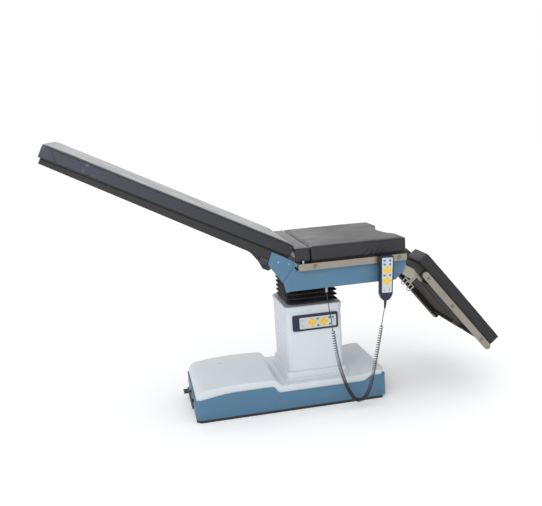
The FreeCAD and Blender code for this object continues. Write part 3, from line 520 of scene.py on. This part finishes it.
def coated_fabric(name, colour, worn):
    """Grained vinyl, with painted light along the table: greyer towards the head end as a painted
    sheen, nearly black on the leg sections as painted shade.
    """
    g = Graph(name, colour, 0.3)
    # Painted sheen: a lighter blue-grey towards the raised head end
    g.tint(g.spread(g.along("X"), -1.05, -0.15, 0.80, 0.0), (76, 80, 93))
    # Painted shade: nearly black on the leg sections, which slope away from the light
    g.tint(g.spread(g.along("X"), 0.38, 0.46, 0.0, 0.75), (22, 22, 24))
    g.tint(g.spread(g.noise(5.5, 5), 0.35, 0.75, 0.0, 0.30), worn)
    rough = g.combine("ADD", g.spread(g.along("X"), -0.22, 0.16, 0.22, 0.42),
                      g.spread(g.noise(9, 5), 0.3, 0.7, -0.05, 0.06))
    g.link(rough, g.bsdf.inputs["Roughness"])
    g.bump(g.cells(420), 0.14, 0.0004)
    g.bump(g.noise(30, 3), 0.12, 0.0020)
    g.set(IOR=1.44, Coat_Weight=0.10, Coat_Roughness=0.22)
    return g


def brushed(name, colour, rough, stretch, metallic=1.0):
    g = Graph(name, colour, rough, metallic)
    lines = g.noise(140, 3, 0.6, g.stretched(stretch))
    g.roughen(lines, rough - 0.09, rough + 0.10)
    g.bump(lines, 0.10, 0.0002)
    g.tint(g.spread(g.noise(9, 4), 0.45, 0.8, 0.0, 0.3), [c * 0.72 for c in colour])
    return g


def rubbery(name, colour, dust, rough=0.62):
    g = Graph(name, colour, rough)
    g.tint(g.spread(g.noise(15, 5), 0.4, 0.8, 0.0, 0.4), dust)
    g.roughen(g.noise(40, 3), rough - 0.08, rough + 0.10)
    g.bump(g.noise(420, 2), 0.14, 0.0004)
    return g


def cast(name, colour, rough, metallic=1.0):
    g = Graph(name, colour, rough, metallic)
    g.bump(g.noise(300, 4, 0.6), 0.30, 0.0007)
    g.roughen(g.noise(60, 4), rough - 0.06, rough + 0.12)
    g.tint(g.spread(g.noise(22, 5), 0.4, 0.8, 0.0, 0.5), [c * 0.7 for c in colour])
    return g


def make_materials():
    blue = paint("paint_blue", (78, 119, 147), 0.42, (94, 130, 154))
    low = blue.spread(blue.along("Z"), 0.012, 0.05, 0.55, 0.0)
    blue.tint(blue.combine("MULTIPLY", low, blue.noise(45, 4)), (60, 92, 118))
    black = paint("paint_black", (34, 33, 34), 0.42, (66, 64, 62))
    board = paint("board_dark", (50, 43, 37), 0.70, (66, 58, 51))
    board.set(Specular_IOR_Level=0.22)
    white = moulded("moulded_white", (214, 220, 226), 0.34, (196, 203, 210))
    navy = moulded("moulded_navy", (22, 30, 52), 0.38, (34, 42, 66))
    foil = moulded("foil_grey", (198, 203, 207), 0.30, (186, 192, 197))
    vinyl = coated_fabric("coated_fabric", (38, 38, 42), (52, 52, 57))
    seam = coated_fabric("coated_welt", (26, 26, 28), (36, 36, 38))
    rail = brushed("rail_brushed", (160, 153, 143), 0.36, (0.6, 30, 30))
    steel = brushed("steel_brushed", (182, 182, 182), 0.32, (30, 0.8, 30))
    pleat = rubbery("pleat_rubber", (30, 30, 31), (70, 70, 72))
    cord = rubbery("cord_sheath", (44, 43, 45), (78, 76, 78), 0.46)
    tyre = rubbery("castor_tread", (62, 62, 64), (96, 96, 98))
    casting = cast("cast_aluminium", (176, 171, 157), 0.42)
    iron = cast("cast_painted", (60, 62, 66), 0.5, 0.0)
    chrome = Graph("chrome_wire", (172, 170, 165), 0.20, 1.0)
    chrome.roughen(chrome.noise(60, 3), 0.14, 0.28)
    plastic = moulded("plastic_black", (36, 36, 38), 0.5, (56, 56, 58))
    grey = moulded("plastic_grey", (150, 152, 155), 0.42, (134, 136, 140))
    keys = moulded("key_blue", (46, 120, 180), 0.35, (56, 130, 188))
    ring = moulded("key_yellow", (238, 196, 62), 0.38, (228, 184, 54))
    mark = moulded("key_grey", (120, 124, 130), 0.40, (108, 112, 118))
    arrow = moulded("key_orange", (168, 106, 28), 0.38, (156, 98, 26))
    # Near-black painted shade for the screw countersinks and slots, and for the wedge at the kidney
    # cushion's head end
    dark = moulded("painted_recess_shade", (22, 22, 24), 0.6, (30, 30, 32))
    for g in (blue, black, board, white, navy, foil, vinyl, seam, rail, steel, pleat, cord, tyre,
              casting, iron, chrome, plastic, grey, keys, ring, arrow, mark, dark):
        MATERIALS[g.mat.name] = g.mat


NODES_OF_MATERIAL = {
    "paint_black": ("base_plate", "power_unit", "seat_frame", "back_frame", "pedal_bar",
                    "carriage_frame"),
    "paint_blue": ("base_skirt", "table_skirt", "back_arms"),
    "moulded_white": ("base_cover", "column_plinth", "column_shell", "column_cap"),
    "steel_brushed": ("fixed_guide", "lift_cylinder", "pedal_bearings", "moving_guide",
                      "rail_spacers", "back_pins", "castor_fork"),
    "moulded_navy": ("panel_bezel", "handset_body"),
    "chrome_wire": ("lift_rod", "leg_lever"),
    "cast_painted": ("head_clevis", "tilt_cross", "back_latches"),
    "plastic_black": ("trend_gearmotor", "tilt_gearmotor", "back_gearmotors"),
    "board_dark": ("seat_board", "kidney_board", "back_board", "leg_frame"),
    "rail_brushed": ("side_rails", "leg_rail"),
    "cord_sheath": ("handset_relief",),
    "plastic_grey": ("cord_socket",),
    "pleat_rubber": ("pedal_pad",),
    "cast_aluminium": ("leg_bracket",),
    "castor_tread": ("castor_wheel",),
}
NODE_MATERIALS = {node: material
                  for material, nodes in NODES_OF_MATERIAL.items() for node in nodes}


# Edge radii of the nodes whose edges are wider than PLAIN_EDGE
EDGE_WIDTHS = {"base_skirt": 0.0012, "base_cover": 0.0012, "base_plate": 0.001,
               "column_plinth": 0.003, "column_cap": 0.001, "leg_bracket": 0.0015,
               "head_clevis": 0.0015}
PLAIN_EDGE = 0.0006
NODE_SHARP_EDGE = math.radians(40)
WELD_WITHIN = 0.000005


def dress_nodes():
    """Gives each CAD node its material and soft edges."""
    for name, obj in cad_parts.items():
        key = name
        for tail in ("_near", "_far", "_1", "_2", "_3", "_4"):
            if key.endswith(tail):
                key = key[:-len(tail)]
        if key not in NODE_MATERIALS:
            continue
        material = MATERIALS[NODE_MATERIALS[key]]
        if obj.material_slots:
            for s in obj.material_slots:
                s.link = "OBJECT"
                s.material = material
        weld = obj.modifiers.new("weld", "WELD")
        weld.merge_threshold = WELD_WITHIN
        edges = obj.modifiers.new("edges", "BEVEL")
        edges.width = EDGE_WIDTHS.get(key, PLAIN_EDGE)
        edges.segments = 2
        edges.limit_method = "ANGLE"
        edges.angle_limit = NODE_SHARP_EDGE
        edges.use_clamp_overlap = True
        edges.harden_normals = True


# Cord

def nurbs(name, points, bevel):
    data = bpy.data.curves.new(name, "CURVE")
    data.dimensions = "3D"
    data.resolution_u = 4
    spline = data.splines.new("NURBS")
    spline.points.add(len(points) - 1)
    for p, q in zip(spline.points, points):
        p.co = (*q, 1)
    spline.order_u = 3
    spline.use_endpoint_u = True
    data.bevel_depth = bevel
    data.bevel_resolution = 3
    data.use_fill_caps = bevel > 0
    obj = bpy.data.objects.new(name, data)
    scene.collection.objects.link(obj)
    return obj


def read_line(points):
    """Points along the route's own spline."""
    obj = nurbs("route", points, 0)
    obj.data.resolution_u = 40
    mesh = bpy.data.meshes.new_from_object(obj)
    line = [v.co.copy() for v in mesh.vertices]
    bpy.data.objects.remove(obj)
    bpy.data.meshes.remove(mesh)
    return line


def at_length(line, reach):
    """Point and direction at that length along a line of points."""
    for p, q in zip(line, line[1:]):
        d = (q - p).length
        if reach <= d and d > 0:
            return p.lerp(q, reach / d), (q - p).normalized()
        reach -= d
    return line[-1], (line[-1] - line[-2]).normalized()


def curl_pitch(share):
    """Spacing of the turns: closed at the bottom of the loop, pulled open by its weight above."""
    if share < CLOSED_FROM:
        return CLOSED_PITCH + (LEFT_PITCH - CLOSED_PITCH) * (1 - share / CLOSED_FROM) ** 0.8
    if share < CLOSED_TO:
        return CLOSED_PITCH
    opened = min(1.0, (share - CLOSED_TO) / RIGHT_OPENING)
    return CLOSED_PITCH + (RIGHT_PITCH - CLOSED_PITCH) * opened


def make_cord():
    """One wire from the socket through the curl to the handset."""
    line = read_line(COIL)
    total = sum((q - p).length for p, q in zip(line, line[1:]))
    points = [Vector(p) for p in LEAD_IN]
    side = Vector((0, -1, 0))
    turn = 0.0
    reach = CURL_START
    while reach < total - CURL_START:
        place, way = at_length(line, reach)
        side = (side - way * side.dot(way)).normalized()
        across = way.cross(side)
        from_end = min(reach, total - reach)
        grow = min(1.0, (from_end - CURL_GROWTH_START) / CURL_GROWTH)
        radius = CURL_R * max(grow, LEAST_CURL)
        points.append(place + side * radius * math.cos(turn) + across * radius * math.sin(turn))
        turn += 2 * math.pi / STEPS_PER_TURN
        reach += curl_pitch(reach / total) / STEPS_PER_TURN
    points += [Vector(p) for p in LEAD_OUT]
    cord = nurbs("cord", points, WIRE_R)
    cord.data.materials.append(MATERIALS["cord_sheath"])
    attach(cord, "cord_loop")
    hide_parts("cord_lead_socket", "cord_coil", "cord_lead_handset")


# Cushions, drawn flat and then turned with their section

FLAT = (Vector((0, 0, 0)), Vector((1, 0, 0)), Vector((0, 1, 0)))


def crisp_pad(name, outline, z0, z1):
    """Closed pad of that outline with a small rounded rim."""
    bm = bmesh.new()
    add_plate(bm, outline, FLAT, z0, z1)
    obj = mesh_object(name, bm)
    soften(obj, PAD_RIM, 3)
    return obj


def apply_modifiers(obj):
    graph = bpy.context.evaluated_depsgraph_get()
    data = bpy.data.meshes.new_from_object(obj.evaluated_get(graph))
    old = obj.data
    obj.modifiers.clear()
    obj.data = data
    bpy.data.meshes.remove(old)


def nearest_on(tree, place):
    """Nearest place on a surface and the surface's normal there."""
    found, normal, index, gap = tree.find_nearest(place)
    return found, normal


def inflate(obj, voxel, top_cap):
    """Swells a pad as stuffed cloth: remeshed, laid back on its crisp shape and blown up.
    Only what the cloth swells outwards is kept, up to a cap at the sides and at the top."""
    crisp = obj.evaluated_get(bpy.context.evaluated_depsgraph_get())
    tree = BVHTree.FromPolygons([v.co.copy() for v in crisp.data.vertices],
                                [tuple(f.vertices) for f in crisp.data.polygons])
    remesh = obj.modifiers.new("remesh", "REMESH")
    remesh.mode = "VOXEL"
    remesh.voxel_size = voxel
    apply_modifiers(obj)
    before = []
    for v in obj.data.vertices:
        place, normal = nearest_on(tree, v.co)
        v.co = place
        before.append((place, normal))
    cloth = obj.modifiers.new("cloth", "CLOTH")
    cloth.settings.use_pressure = True
    cloth.settings.uniform_pressure_force = PRESSURE
    cloth.settings.effector_weights.gravity = 0
    cloth.settings.mass = CLOTH_MASS
    cloth.settings.quality = CLOTH_QUALITY
    cloth.point_cache.frame_start = 1
    cloth.point_cache.frame_end = CLOTH_FRAMES
    for f in range(1, CLOTH_FRAMES + 1):
        scene.frame_set(f)
    apply_modifiers(obj)
    scene.frame_set(1)
    for v, (place, normal) in zip(obj.data.vertices, before):
        swell = max(0.0, (v.co - place).dot(normal))
        cap = SIDE_SWELL + (top_cap - SIDE_SWELL) * max(0.0, normal.z)
        if normal.z < -0.3:
            cap = UNDER_SWELL
        v.co = place + normal * cap * min(1.0, swell / FULL_SWELL)
    sub = obj.modifiers.new("sub", "SUBSURF")
    sub.levels = 1
    sub.render_levels = 1
    apply_modifiers(obj)
    smooth_faces(obj.data)
    obj.data.set_sharp_from_angle(angle=PAD_SHARP_EDGE)


def crease(obj, x, z, reach, angle, spacing, depth):
    """Draws a few slanting folds into the near side of a pad about x, z."""
    c, s = math.cos(angle), math.sin(angle)
    for v in obj.data.vertices:
        if v.normal.y > -0.7:
            continue
        a = (v.co.x - x) / reach
        if abs(a) >= 1:
            continue
        across = (v.co.x - x) * c + (v.co.z - z) * s
        along = (v.co.z - z) * c - (v.co.x - x) * s
        wave = math.sin(2 * math.pi * across / spacing + 1.3 * math.sin(90 * along))
        v.co.y += depth * (1 - a * a) ** 2 * (1 - wave) / 2


def crown(obj, outline, z0, z1):
    """Raises the top towards its middle."""
    xs = [p[0] for p in outline]
    ys = [p[1] for p in outline]
    mx, my = (min(xs) + max(xs)) / 2, (min(ys) + max(ys)) / 2
    hx, hy = (max(xs) - min(xs)) / 2, (max(ys) - min(ys)) / 2
    for v in obj.data.vertices:
        a = max(-1.0, min(1.0, (v.co.x - mx) / hx))
        b = max(-1.0, min(1.0, (v.co.y - my) / hy))
        top = max(0.0, min(1.0, (v.co.z - z0) / (z1 - z0)))
        v.co.z += CROWN * top * (1 - a ** 4) * (1 - b ** 4)


def welt(name, outline, z, closed):
    """Sewn welt along a pad's edge. z is its height, or a list with one height for each point."""
    data = bpy.data.curves.new(name, "CURVE")
    data.dimensions = "3D"
    spline = data.splines.new("POLY")
    spline.points.add(len(outline) - 1)
    for k, (p, (x, y)) in enumerate(zip(spline.points, outline)):
        height = z[k] if isinstance(z, list) else z
        p.co = (x, y, height, 1)
    spline.use_cyclic_u = closed
    data.bevel_depth = WELT_R
    data.bevel_resolution = 2
    data.use_fill_caps = not closed
    obj = bpy.data.objects.new(name, data)
    scene.collection.objects.link(obj)
    mesh = bpy.data.meshes.new_from_object(obj)
    bpy.data.objects.remove(obj)
    out = bpy.data.objects.new(name, mesh)
    scene.collection.objects.link(out)
    smooth_faces(mesh)
    return out


def round_corners(outline, r, steps=5):
    """Rounds the corners of a closed outline."""
    out = []
    count = len(outline)
    for i in range(count):
        p = Vector(outline[i - 1])
        q = Vector(outline[i])
        s = Vector(outline[(i + 1) % count])
        a = (p - q).normalized()
        b = (s - q).normalized()
        reach = min(r, (p - q).length * 0.45, (s - q).length * 0.45)
        start = q + a * reach
        end = q + b * reach
        for k in range(steps + 1):
            t = k / steps
            out.append(tuple((1 - t) ** 2 * start + 2 * t * (1 - t) * q + t ** 2 * end))
    return out


def inset(outline, d):
    """Moves each side of a closed outline, given anticlockwise, inwards by d."""
    out = []
    count = len(outline)
    for i in range(count):
        p = Vector(outline[i - 1])
        q = Vector(outline[i])
        s = Vector(outline[(i + 1) % count])
        a = (q - p).normalized()
        b = (s - q).normalized()
        na = Vector((-a.y, a.x))
        nb = Vector((-b.y, b.x))
        m = na + nb
        m = m / max(m.length_squared / 2, 0.2)
        out.append(tuple(q + m * d))
    return out


def turn_about(obj, pivot, angle):
    """Turns a mesh with its section, from flat to its place in the photograph."""
    m = Matrix.Translation(pivot) @ Matrix.Rotation(angle, 4, "Y") @ Matrix.Translation(-pivot)
    obj.data.transform(m)


def make_pad(name, outline, z0, body, node, voxel, top_cap, pivot=None, angle=0.0,
             corner=0.010, creases=(), seams=(), edge_seams=True):
    """Stuffed pad of that outline, with welts on its edges, turned with its section."""
    z1 = CUSHION_TOP
    shape = round_corners(inset(outline, 0.0015), corner)
    pad = crisp_pad(name, shape, z0 + 0.0008, z1 - 0.0020)
    inflate(pad, voxel, top_cap)
    crown(pad, outline, z0, z1)
    for values in creases:
        crease(pad, **values)
    pieces = [(pad, "coated_fabric")]
    rim = round_corners(inset(outline, WELT_IN), corner)
    runs = [(path, height, False) for path, height in seams]
    if edge_seams:
        runs = [(rim, z1 - WELT_UNDER_TOP, True), (rim, z0 + WELT_OVER_BOTTOM, True)] + runs
    for path, height, closed in runs:
        seam = welt("%s_welt_%d" % (name, len(pieces)), path, height, closed)
        pieces.append((seam, "coated_welt"))
    for obj, material in pieces:
        if pivot is not None:
            turn_about(obj, pivot, angle)
        obj.data.materials.clear()
        obj.data.materials.append(MATERIALS[material])
        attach(obj, body)
    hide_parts(node)


def make_seat_pad():
    """Seat cushion with the notch at the leg end. Its welts stop at the kidney section."""
    half, z0 = CUSHION_HALF, SEAT_PAD_Z
    bay = [(SEAT_X1, 0.125), (0.374, 0.082), (0.364, 0.045), (0.359, 0.0)]
    notch = [(x, -y) for x, y in bay[:-1]] + bay[::-1]
    seat = [(SEAT_X0, -half), (SEAT_X1, -half)] + notch + [(SEAT_X1, half), (SEAT_X0, half)]
    rim = inset(seat, WELT_IN)
    open_rim = [rim[0]] + round_corners(rim, 0.010)[6:-6] + [rim[-1]]
    folds = {"x": 0.235, "z": 0.700, "reach": 0.11, "angle": -0.75, "spacing": 0.021,
             "depth": 0.0016}
    make_pad("seat_pad", seat, z0, "table_frame", "seat_cushion", voxel=0.006, top_cap=0.0040,
             creases=[folds],
             seams=[(open_rim, CUSHION_TOP - WELT_UNDER_TOP), (open_rim, z0 + WELT_OVER_BOTTOM)],
             edge_seams=False)


def make_kidney_pad():
    """Narrow cushion of the kidney section, and a thin near-black sheet at its head end as painted
    shade in the wedge under the back cushion.
    """
    half, z0 = CUSHION_HALF, SEAT_PAD_Z
    kidney = [(KIDNEY_X0, -half), (KIDNEY_X1, -half), (KIDNEY_X1, half), (KIDNEY_X0, half)]
    sides = [[(-0.093, y), (-0.033, y)] for y in (WELT_IN - half, half - WELT_IN)]
    make_pad("kidney_pad", kidney, z0, "kidney_bridge", "kidney_cushion", voxel=0.005,
             top_cap=0.0030, corner=0.004, seams=[(p, CUSHION_TOP - WELT_UNDER_TOP) for p in sides],
             edge_seams=False)
    # Painted shade: a thin near-black sheet standing in the wedge between the kidney and back
    # cushions, where there is only shadow
    bm = bmesh.new()
    x0, x1, y = SHADE_SHEET_X0, SHADE_SHEET_X1, SHADE_SHEET_HALF
    strip = [(x0, -y), (x1, -y), (x1, y), (x0, y)]
    add_plate(bm, strip, FLAT, z0 + 0.0030, z0 + 0.0180)
    shade_sheet = mesh_object("kidney_end_shade_sheet", bm)
    finish_piece(shade_sheet, "kidney_bridge", "painted_recess_shade")


def make_back_pad():
    """Long back cushion with slanting seams on both sides of its head end."""
    half, z0 = CUSHION_HALF, CUSHION_TOP - SECTION_PAD
    x1 = BACK_PIVOT.x - BACK_FROM_PIVOT
    head = x1 - BACK_LENGTH
    back = [(head, -half), (x1, -half), (x1, half), (head, half)]
    near = [(head + 0.036, -half - 0.0002), (head + 0.074, -half - 0.0002)]
    far = [(x, -y) for x, y in near]
    folds = {"x": head + 0.18, "z": z0 + 0.03, "reach": 0.15, "angle": -0.85, "spacing": 0.050,
             "depth": 0.0042}
    make_pad("back_pad", back, z0, "back_section", "back_cushion", voxel=0.007, top_cap=0.0040,
             pivot=BACK_PIVOT, angle=BACK_REST, corner=0.014, creases=[folds],
             seams=[(path, [CUSHION_TOP - 0.004, z0 + 0.003]) for path in (near, far)])


def make_leg_pads():
    """Two leg cushions whose inner corners are cut off beside the notch."""
    half, z0 = CUSHION_HALF, CUSHION_TOP - SECTION_PAD
    x0 = LEG_PIVOT.x + LEG_FROM_PIVOT
    x1 = x0 + LEG_LENGTH
    near = [(x0, -half), (x1, -half), (x1, -0.002), (x0 + 0.060, -0.002), (x0, -0.119)]
    far = [(x0, 0.119), (x0 + 0.060, 0.002), (x1, 0.002), (x1, half), (x0, half)]
    for name, outline in (("near", near), ("far", far)):
        make_pad("leg_pad_" + name, outline, z0, "leg_plate_" + name, "leg_cushion_" + name,
                 voxel=0.006, top_cap=0.0040, pivot=LEG_PIVOT, angle=LEG_REST)


# Bellows

def make_bellows():
    """Pleated square sleeve whose tips sag a little between the corners."""
    bm = bmesh.new()
    low, high = COLUMN_TOP + 0.0005, BELLOWS_TOP - 0.0003
    pitch = (high - low) / PLEATS
    profile = []
    for k in range(PLEATS):
        z = low + k * pitch
        profile += [(z + share * pitch, depth) for share, depth in PLEAT_SHAPE]
    profile.append((high, PLEAT_DEPTH))
    rings = []
    for z, depth in profile:
        shape = rect(SLEEVE_LENGTH - 2 * depth, SLEEVE_WIDTH - 2 * depth, SLEEVE_CORNER, 6)
        dense = []
        for i, p in enumerate(shape):
            q = shape[(i + 1) % len(shape)]
            gap = math.hypot(q[0] - p[0], q[1] - p[1])
            steps = 10 if gap > 0.05 else 1
            for s in range(steps):
                t = s / steps
                dense.append((p[0] + (q[0] - p[0]) * t, p[1] + (q[1] - p[1]) * t))
        ring = []
        for a, b in dense:
            side = min(abs(a) * 2 / SLEEVE_LENGTH, abs(b) * 2 / SLEEVE_WIDTH)
            sag = PLEAT_SAG * (1 - side ** 3) * (1 - depth / PLEAT_DEPTH)
            ring.append(bm.verts.new((a + SLEEVE_X, b, max(z - sag, low))))
        rings.append(ring)
    for p, q in zip(rings, rings[1:]):
        for i in range(len(p)):
            j = (i + 1) % len(p)
            bm.faces.new((p[i], p[j], q[j], q[i]))
    obj = mesh_object("pleated_sleeve", bm, smooth=True)
    thick = obj.modifiers.new("cloth", "SOLIDIFY")
    thick.thickness = SLEEVE_WALL
    thick.offset = -1
    obj.data.materials.append(MATERIALS["pleat_rubber"])
    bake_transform(obj)
    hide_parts("bellows")


# Control panel and handset

def flush(name, frame_of, shapes, height, material, body, crown_h=0.0, edge=0.0002):
    """One piece of thin plates on a face, crowned in the middle and softened where asked."""
    bm = bmesh.new()
    for outline in shapes:
        add_plate(bm, outline, frame_of, 0, height, crown_h)
    obj = mesh_object(name, bm)
    if edge:
        soften(obj, edge, 2)
    finish_piece(obj, body, material)


def bars(*rows):
    """Thin bars, each given by its width, height and middle."""
    return [shift(rect(w, h, 0.0004), a, b) for w, h, a, b in rows]


def clover(a, b, wide, high, r, steps=72):
    """Outline round four discs that stand wide and high about a middle."""
    lobes = [(wide, 0), (-wide, 0), (0, high), (0, -high)]
    out = []
    for i in range(steps):
        t = 2 * math.pi * i / steps
        c, s = math.cos(t), math.sin(t)
        reach = 0.0
        for x, y in lobes:
            past = x * c + y * s
            miss = abs(x * s - y * c)
            if miss < r and past > 0:
                reach = max(reach, past + math.sqrt(r * r - miss * miss))
        out.append((a + reach * c, b + reach * s))
    return out


def arrows(a, b, wide, high, size):
    """Four small triangles that point away from the middle of a cluster."""
    out = []
    for x, y in ((wide, 0), (-wide, 0), (0, high), (0, -high)):
        n = math.hypot(x, y)
        c, s = x / n, y / n
        tip = [(size, 0), (-size * 0.6, size * 0.9), (-size * 0.6, -size * 0.9)]
        out.append([(a + x * 1.12 + c * p - s * q, b + y * 1.12 + s * p + c * q) for p, q in tip])
    return out


def panel_frame(lift):
    """Frame on the panel's recessed face, raised by lift."""
    return side_frame(PANEL_X, COLUMN_FRONT - PANEL_RECESS - lift, PANEL_Z, NEAR)


def make_panel():
    """Membrane panel in the column's bezel: two clusters of four keys, single keys and marks."""
    foil = [rect(0.1674, 0.0514, 0.006)]
    flush("panel_foil", panel_frame(0.0), foil, 0.0008, "foil_grey", "base")
    top, over = panel_frame(0.0008), panel_frame(0.0013)
    centres = [(-0.0256, -0.0005), (0.0279, -0.0005)]
    clusters = [clover(a, b, 0.0106, 0.0122, 0.0092) for a, b in centres]
    flush("panel_clusters", top, clusters, 0.0005, "key_yellow", "base")
    signs = [tip for a, b in centres for tip in arrows(a, b, 0.0106, 0.0122, 0.0026)]
    flush("panel_arrows", over, signs, 0.0002, "key_orange", "base", edge=0.0)
    singles = ((-0.001, 0.0150), (0.001, -0.0155), (0.0535, 0.0150), (0.0675, 0.0150),
               (0.0545, -0.0150))
    keys = [shift(rect(0.0104, 0.0084, 0.0022), a, b) for a, b in singles]
    flush("panel_keys", top, keys, 0.0007, "key_blue", "base", 0.0003)
    marks = []
    for a, b in ((-0.070, 0.0130), (-0.070, -0.0130), (0.0720, 0.0)):
        marks += bars((0.0075, 0.0013, a, b + 0.0022), (0.0013, 0.0052, a - 0.0024, b - 0.0014),
                      (0.0036, 0.0013, a + 0.0016, b - 0.0020))
    flush("panel_marks", top, marks, 0.0003, "key_grey", "base", edge=0.0)


def handset_frame(lift):
    """Frame on the handset's face, leaning as its body does."""
    u = Vector((math.cos(HANDSET_LEAN), 0, -math.sin(HANDSET_LEAN)))
    v = Vector((math.sin(HANDSET_LEAN), 0, math.cos(HANDSET_LEAN)))
    return (Vector((HANDSET_X, HANDSET_FACE - lift, HANDSET_Z)), u, v)


def make_handset():
    """Foil with two clusters of four keys, single keys and marks."""
    shape = [(-0.0222, -0.076), (0.0212, -0.076), (0.0248, 0.074), (-0.0225, 0.074)]
    flush("handset_foil", handset_frame(0.0), [round_corners(shape, 0.005)], 0.0006, "foil_grey",
          "table_frame")
    top, over = handset_frame(0.0006), handset_frame(0.0012)
    singles = [(a, b) for b in (0.0620, 0.0455, -0.0015) for a in (-0.0118, 0.0128)]
    keys = [shift(rect(0.0090, 0.0086, 0.0024), a, b) for a, b in singles]
    flush("handset_keys", top, keys, 0.0008, "key_blue", "table_frame", 0.0004)
    centres = [(0.0010, 0.0215), (-0.0002, -0.0255)]
    clusters = [clover(a, b, 0.0112, 0.0094, 0.0084) for a, b in centres]
    flush("handset_clusters", top, clusters, 0.0006, "key_yellow", "table_frame")
    signs = [tip for a, b in centres for tip in arrows(a, b, 0.0112, 0.0094, 0.0024)]
    flush("handset_arrows", over, signs, 0.0002, "key_orange", "table_frame", edge=0.0)
    marks = []
    for a in (-0.0115, 0.0110):
        marks += bars((0.0070, 0.0013, a, -0.0590), (0.0070, 0.0013, a, -0.0660),
                      (0.0013, 0.0052, a, -0.0625))
    flush("handset_marks", top, marks, 0.0003, "key_grey", "table_frame", edge=0.0)


# Screws

def finish_slotted(bm, seats, names, body):
    """Heads, and their near-black seats that paint the shade of the countersinks and slots, as two
    pieces.
    """
    finish_piece(mesh_object(names[0], bm), body, "rail_brushed")
    finish_piece(mesh_object(names[1], seats), body, "painted_recess_shade")


def make_screws():
    """Slotted screws on the rails and socket screws on the back arms."""
    bm, seats = bmesh.new(), bmesh.new()
    for side in (NEAR, FAR):
        for k, x in enumerate(RAIL_SCREWS_X):
            place = side_frame(x, side * (RAIL_FACE + RAIL_SPOT), RAIL_MID_Z, side)
            add_slotted_screw(bm, seats, place, RAIL_SCREW_R, 0.9 + 0.5 * k)
    finish_slotted(bm, seats, ("rail_screws", "rail_screw_seats"), "table_frame")
    bm = bmesh.new()
    for side in (NEAR, FAR):
        for x, z in ARM_SCREWS:
            place = turned(side_frame(x, side * ARM_FACE, z, side), BACK_PIVOT, BACK_REST)
            add_socket_screw(bm, place, ARM_SCREW_R, ARM_SCREW_HEIGHT)
    finish_piece(mesh_object("arm_screws", bm), "back_section", "steel_brushed")
    for side, name in ((NEAR, "near"), (FAR, "far")):
        bm, seats = bmesh.new(), bmesh.new()
        for k, x in enumerate(LEG_SCREWS_X):
            place = turned(side_frame(x, side * RAIL_FACE, LEG_RAIL_Z, side), LEG_PIVOT, LEG_REST)
            add_slotted_screw(bm, seats, place, LEG_SCREW_R, 0.3 + 0.7 * k)
        finish_slotted(bm, seats, ("leg_rail_screws_" + name, "leg_rail_screw_seats_" + name),
                       "leg_plate_" + name)


def main():
    make_camera()
    make_world()
    add_area_light("key", KEY_PLACE, KEY_TARGET, KEY_SIZE, KEY_POWER)
    make_floor()
    make_materials()
    dress_nodes()
    make_cord()
    make_seat_pad()
    make_kidney_pad()
    make_back_pad()
    make_leg_pads()
    make_bellows()
    make_panel()
    make_handset()
    make_screws()


scene.view_settings.view_transform = "Standard"
main()
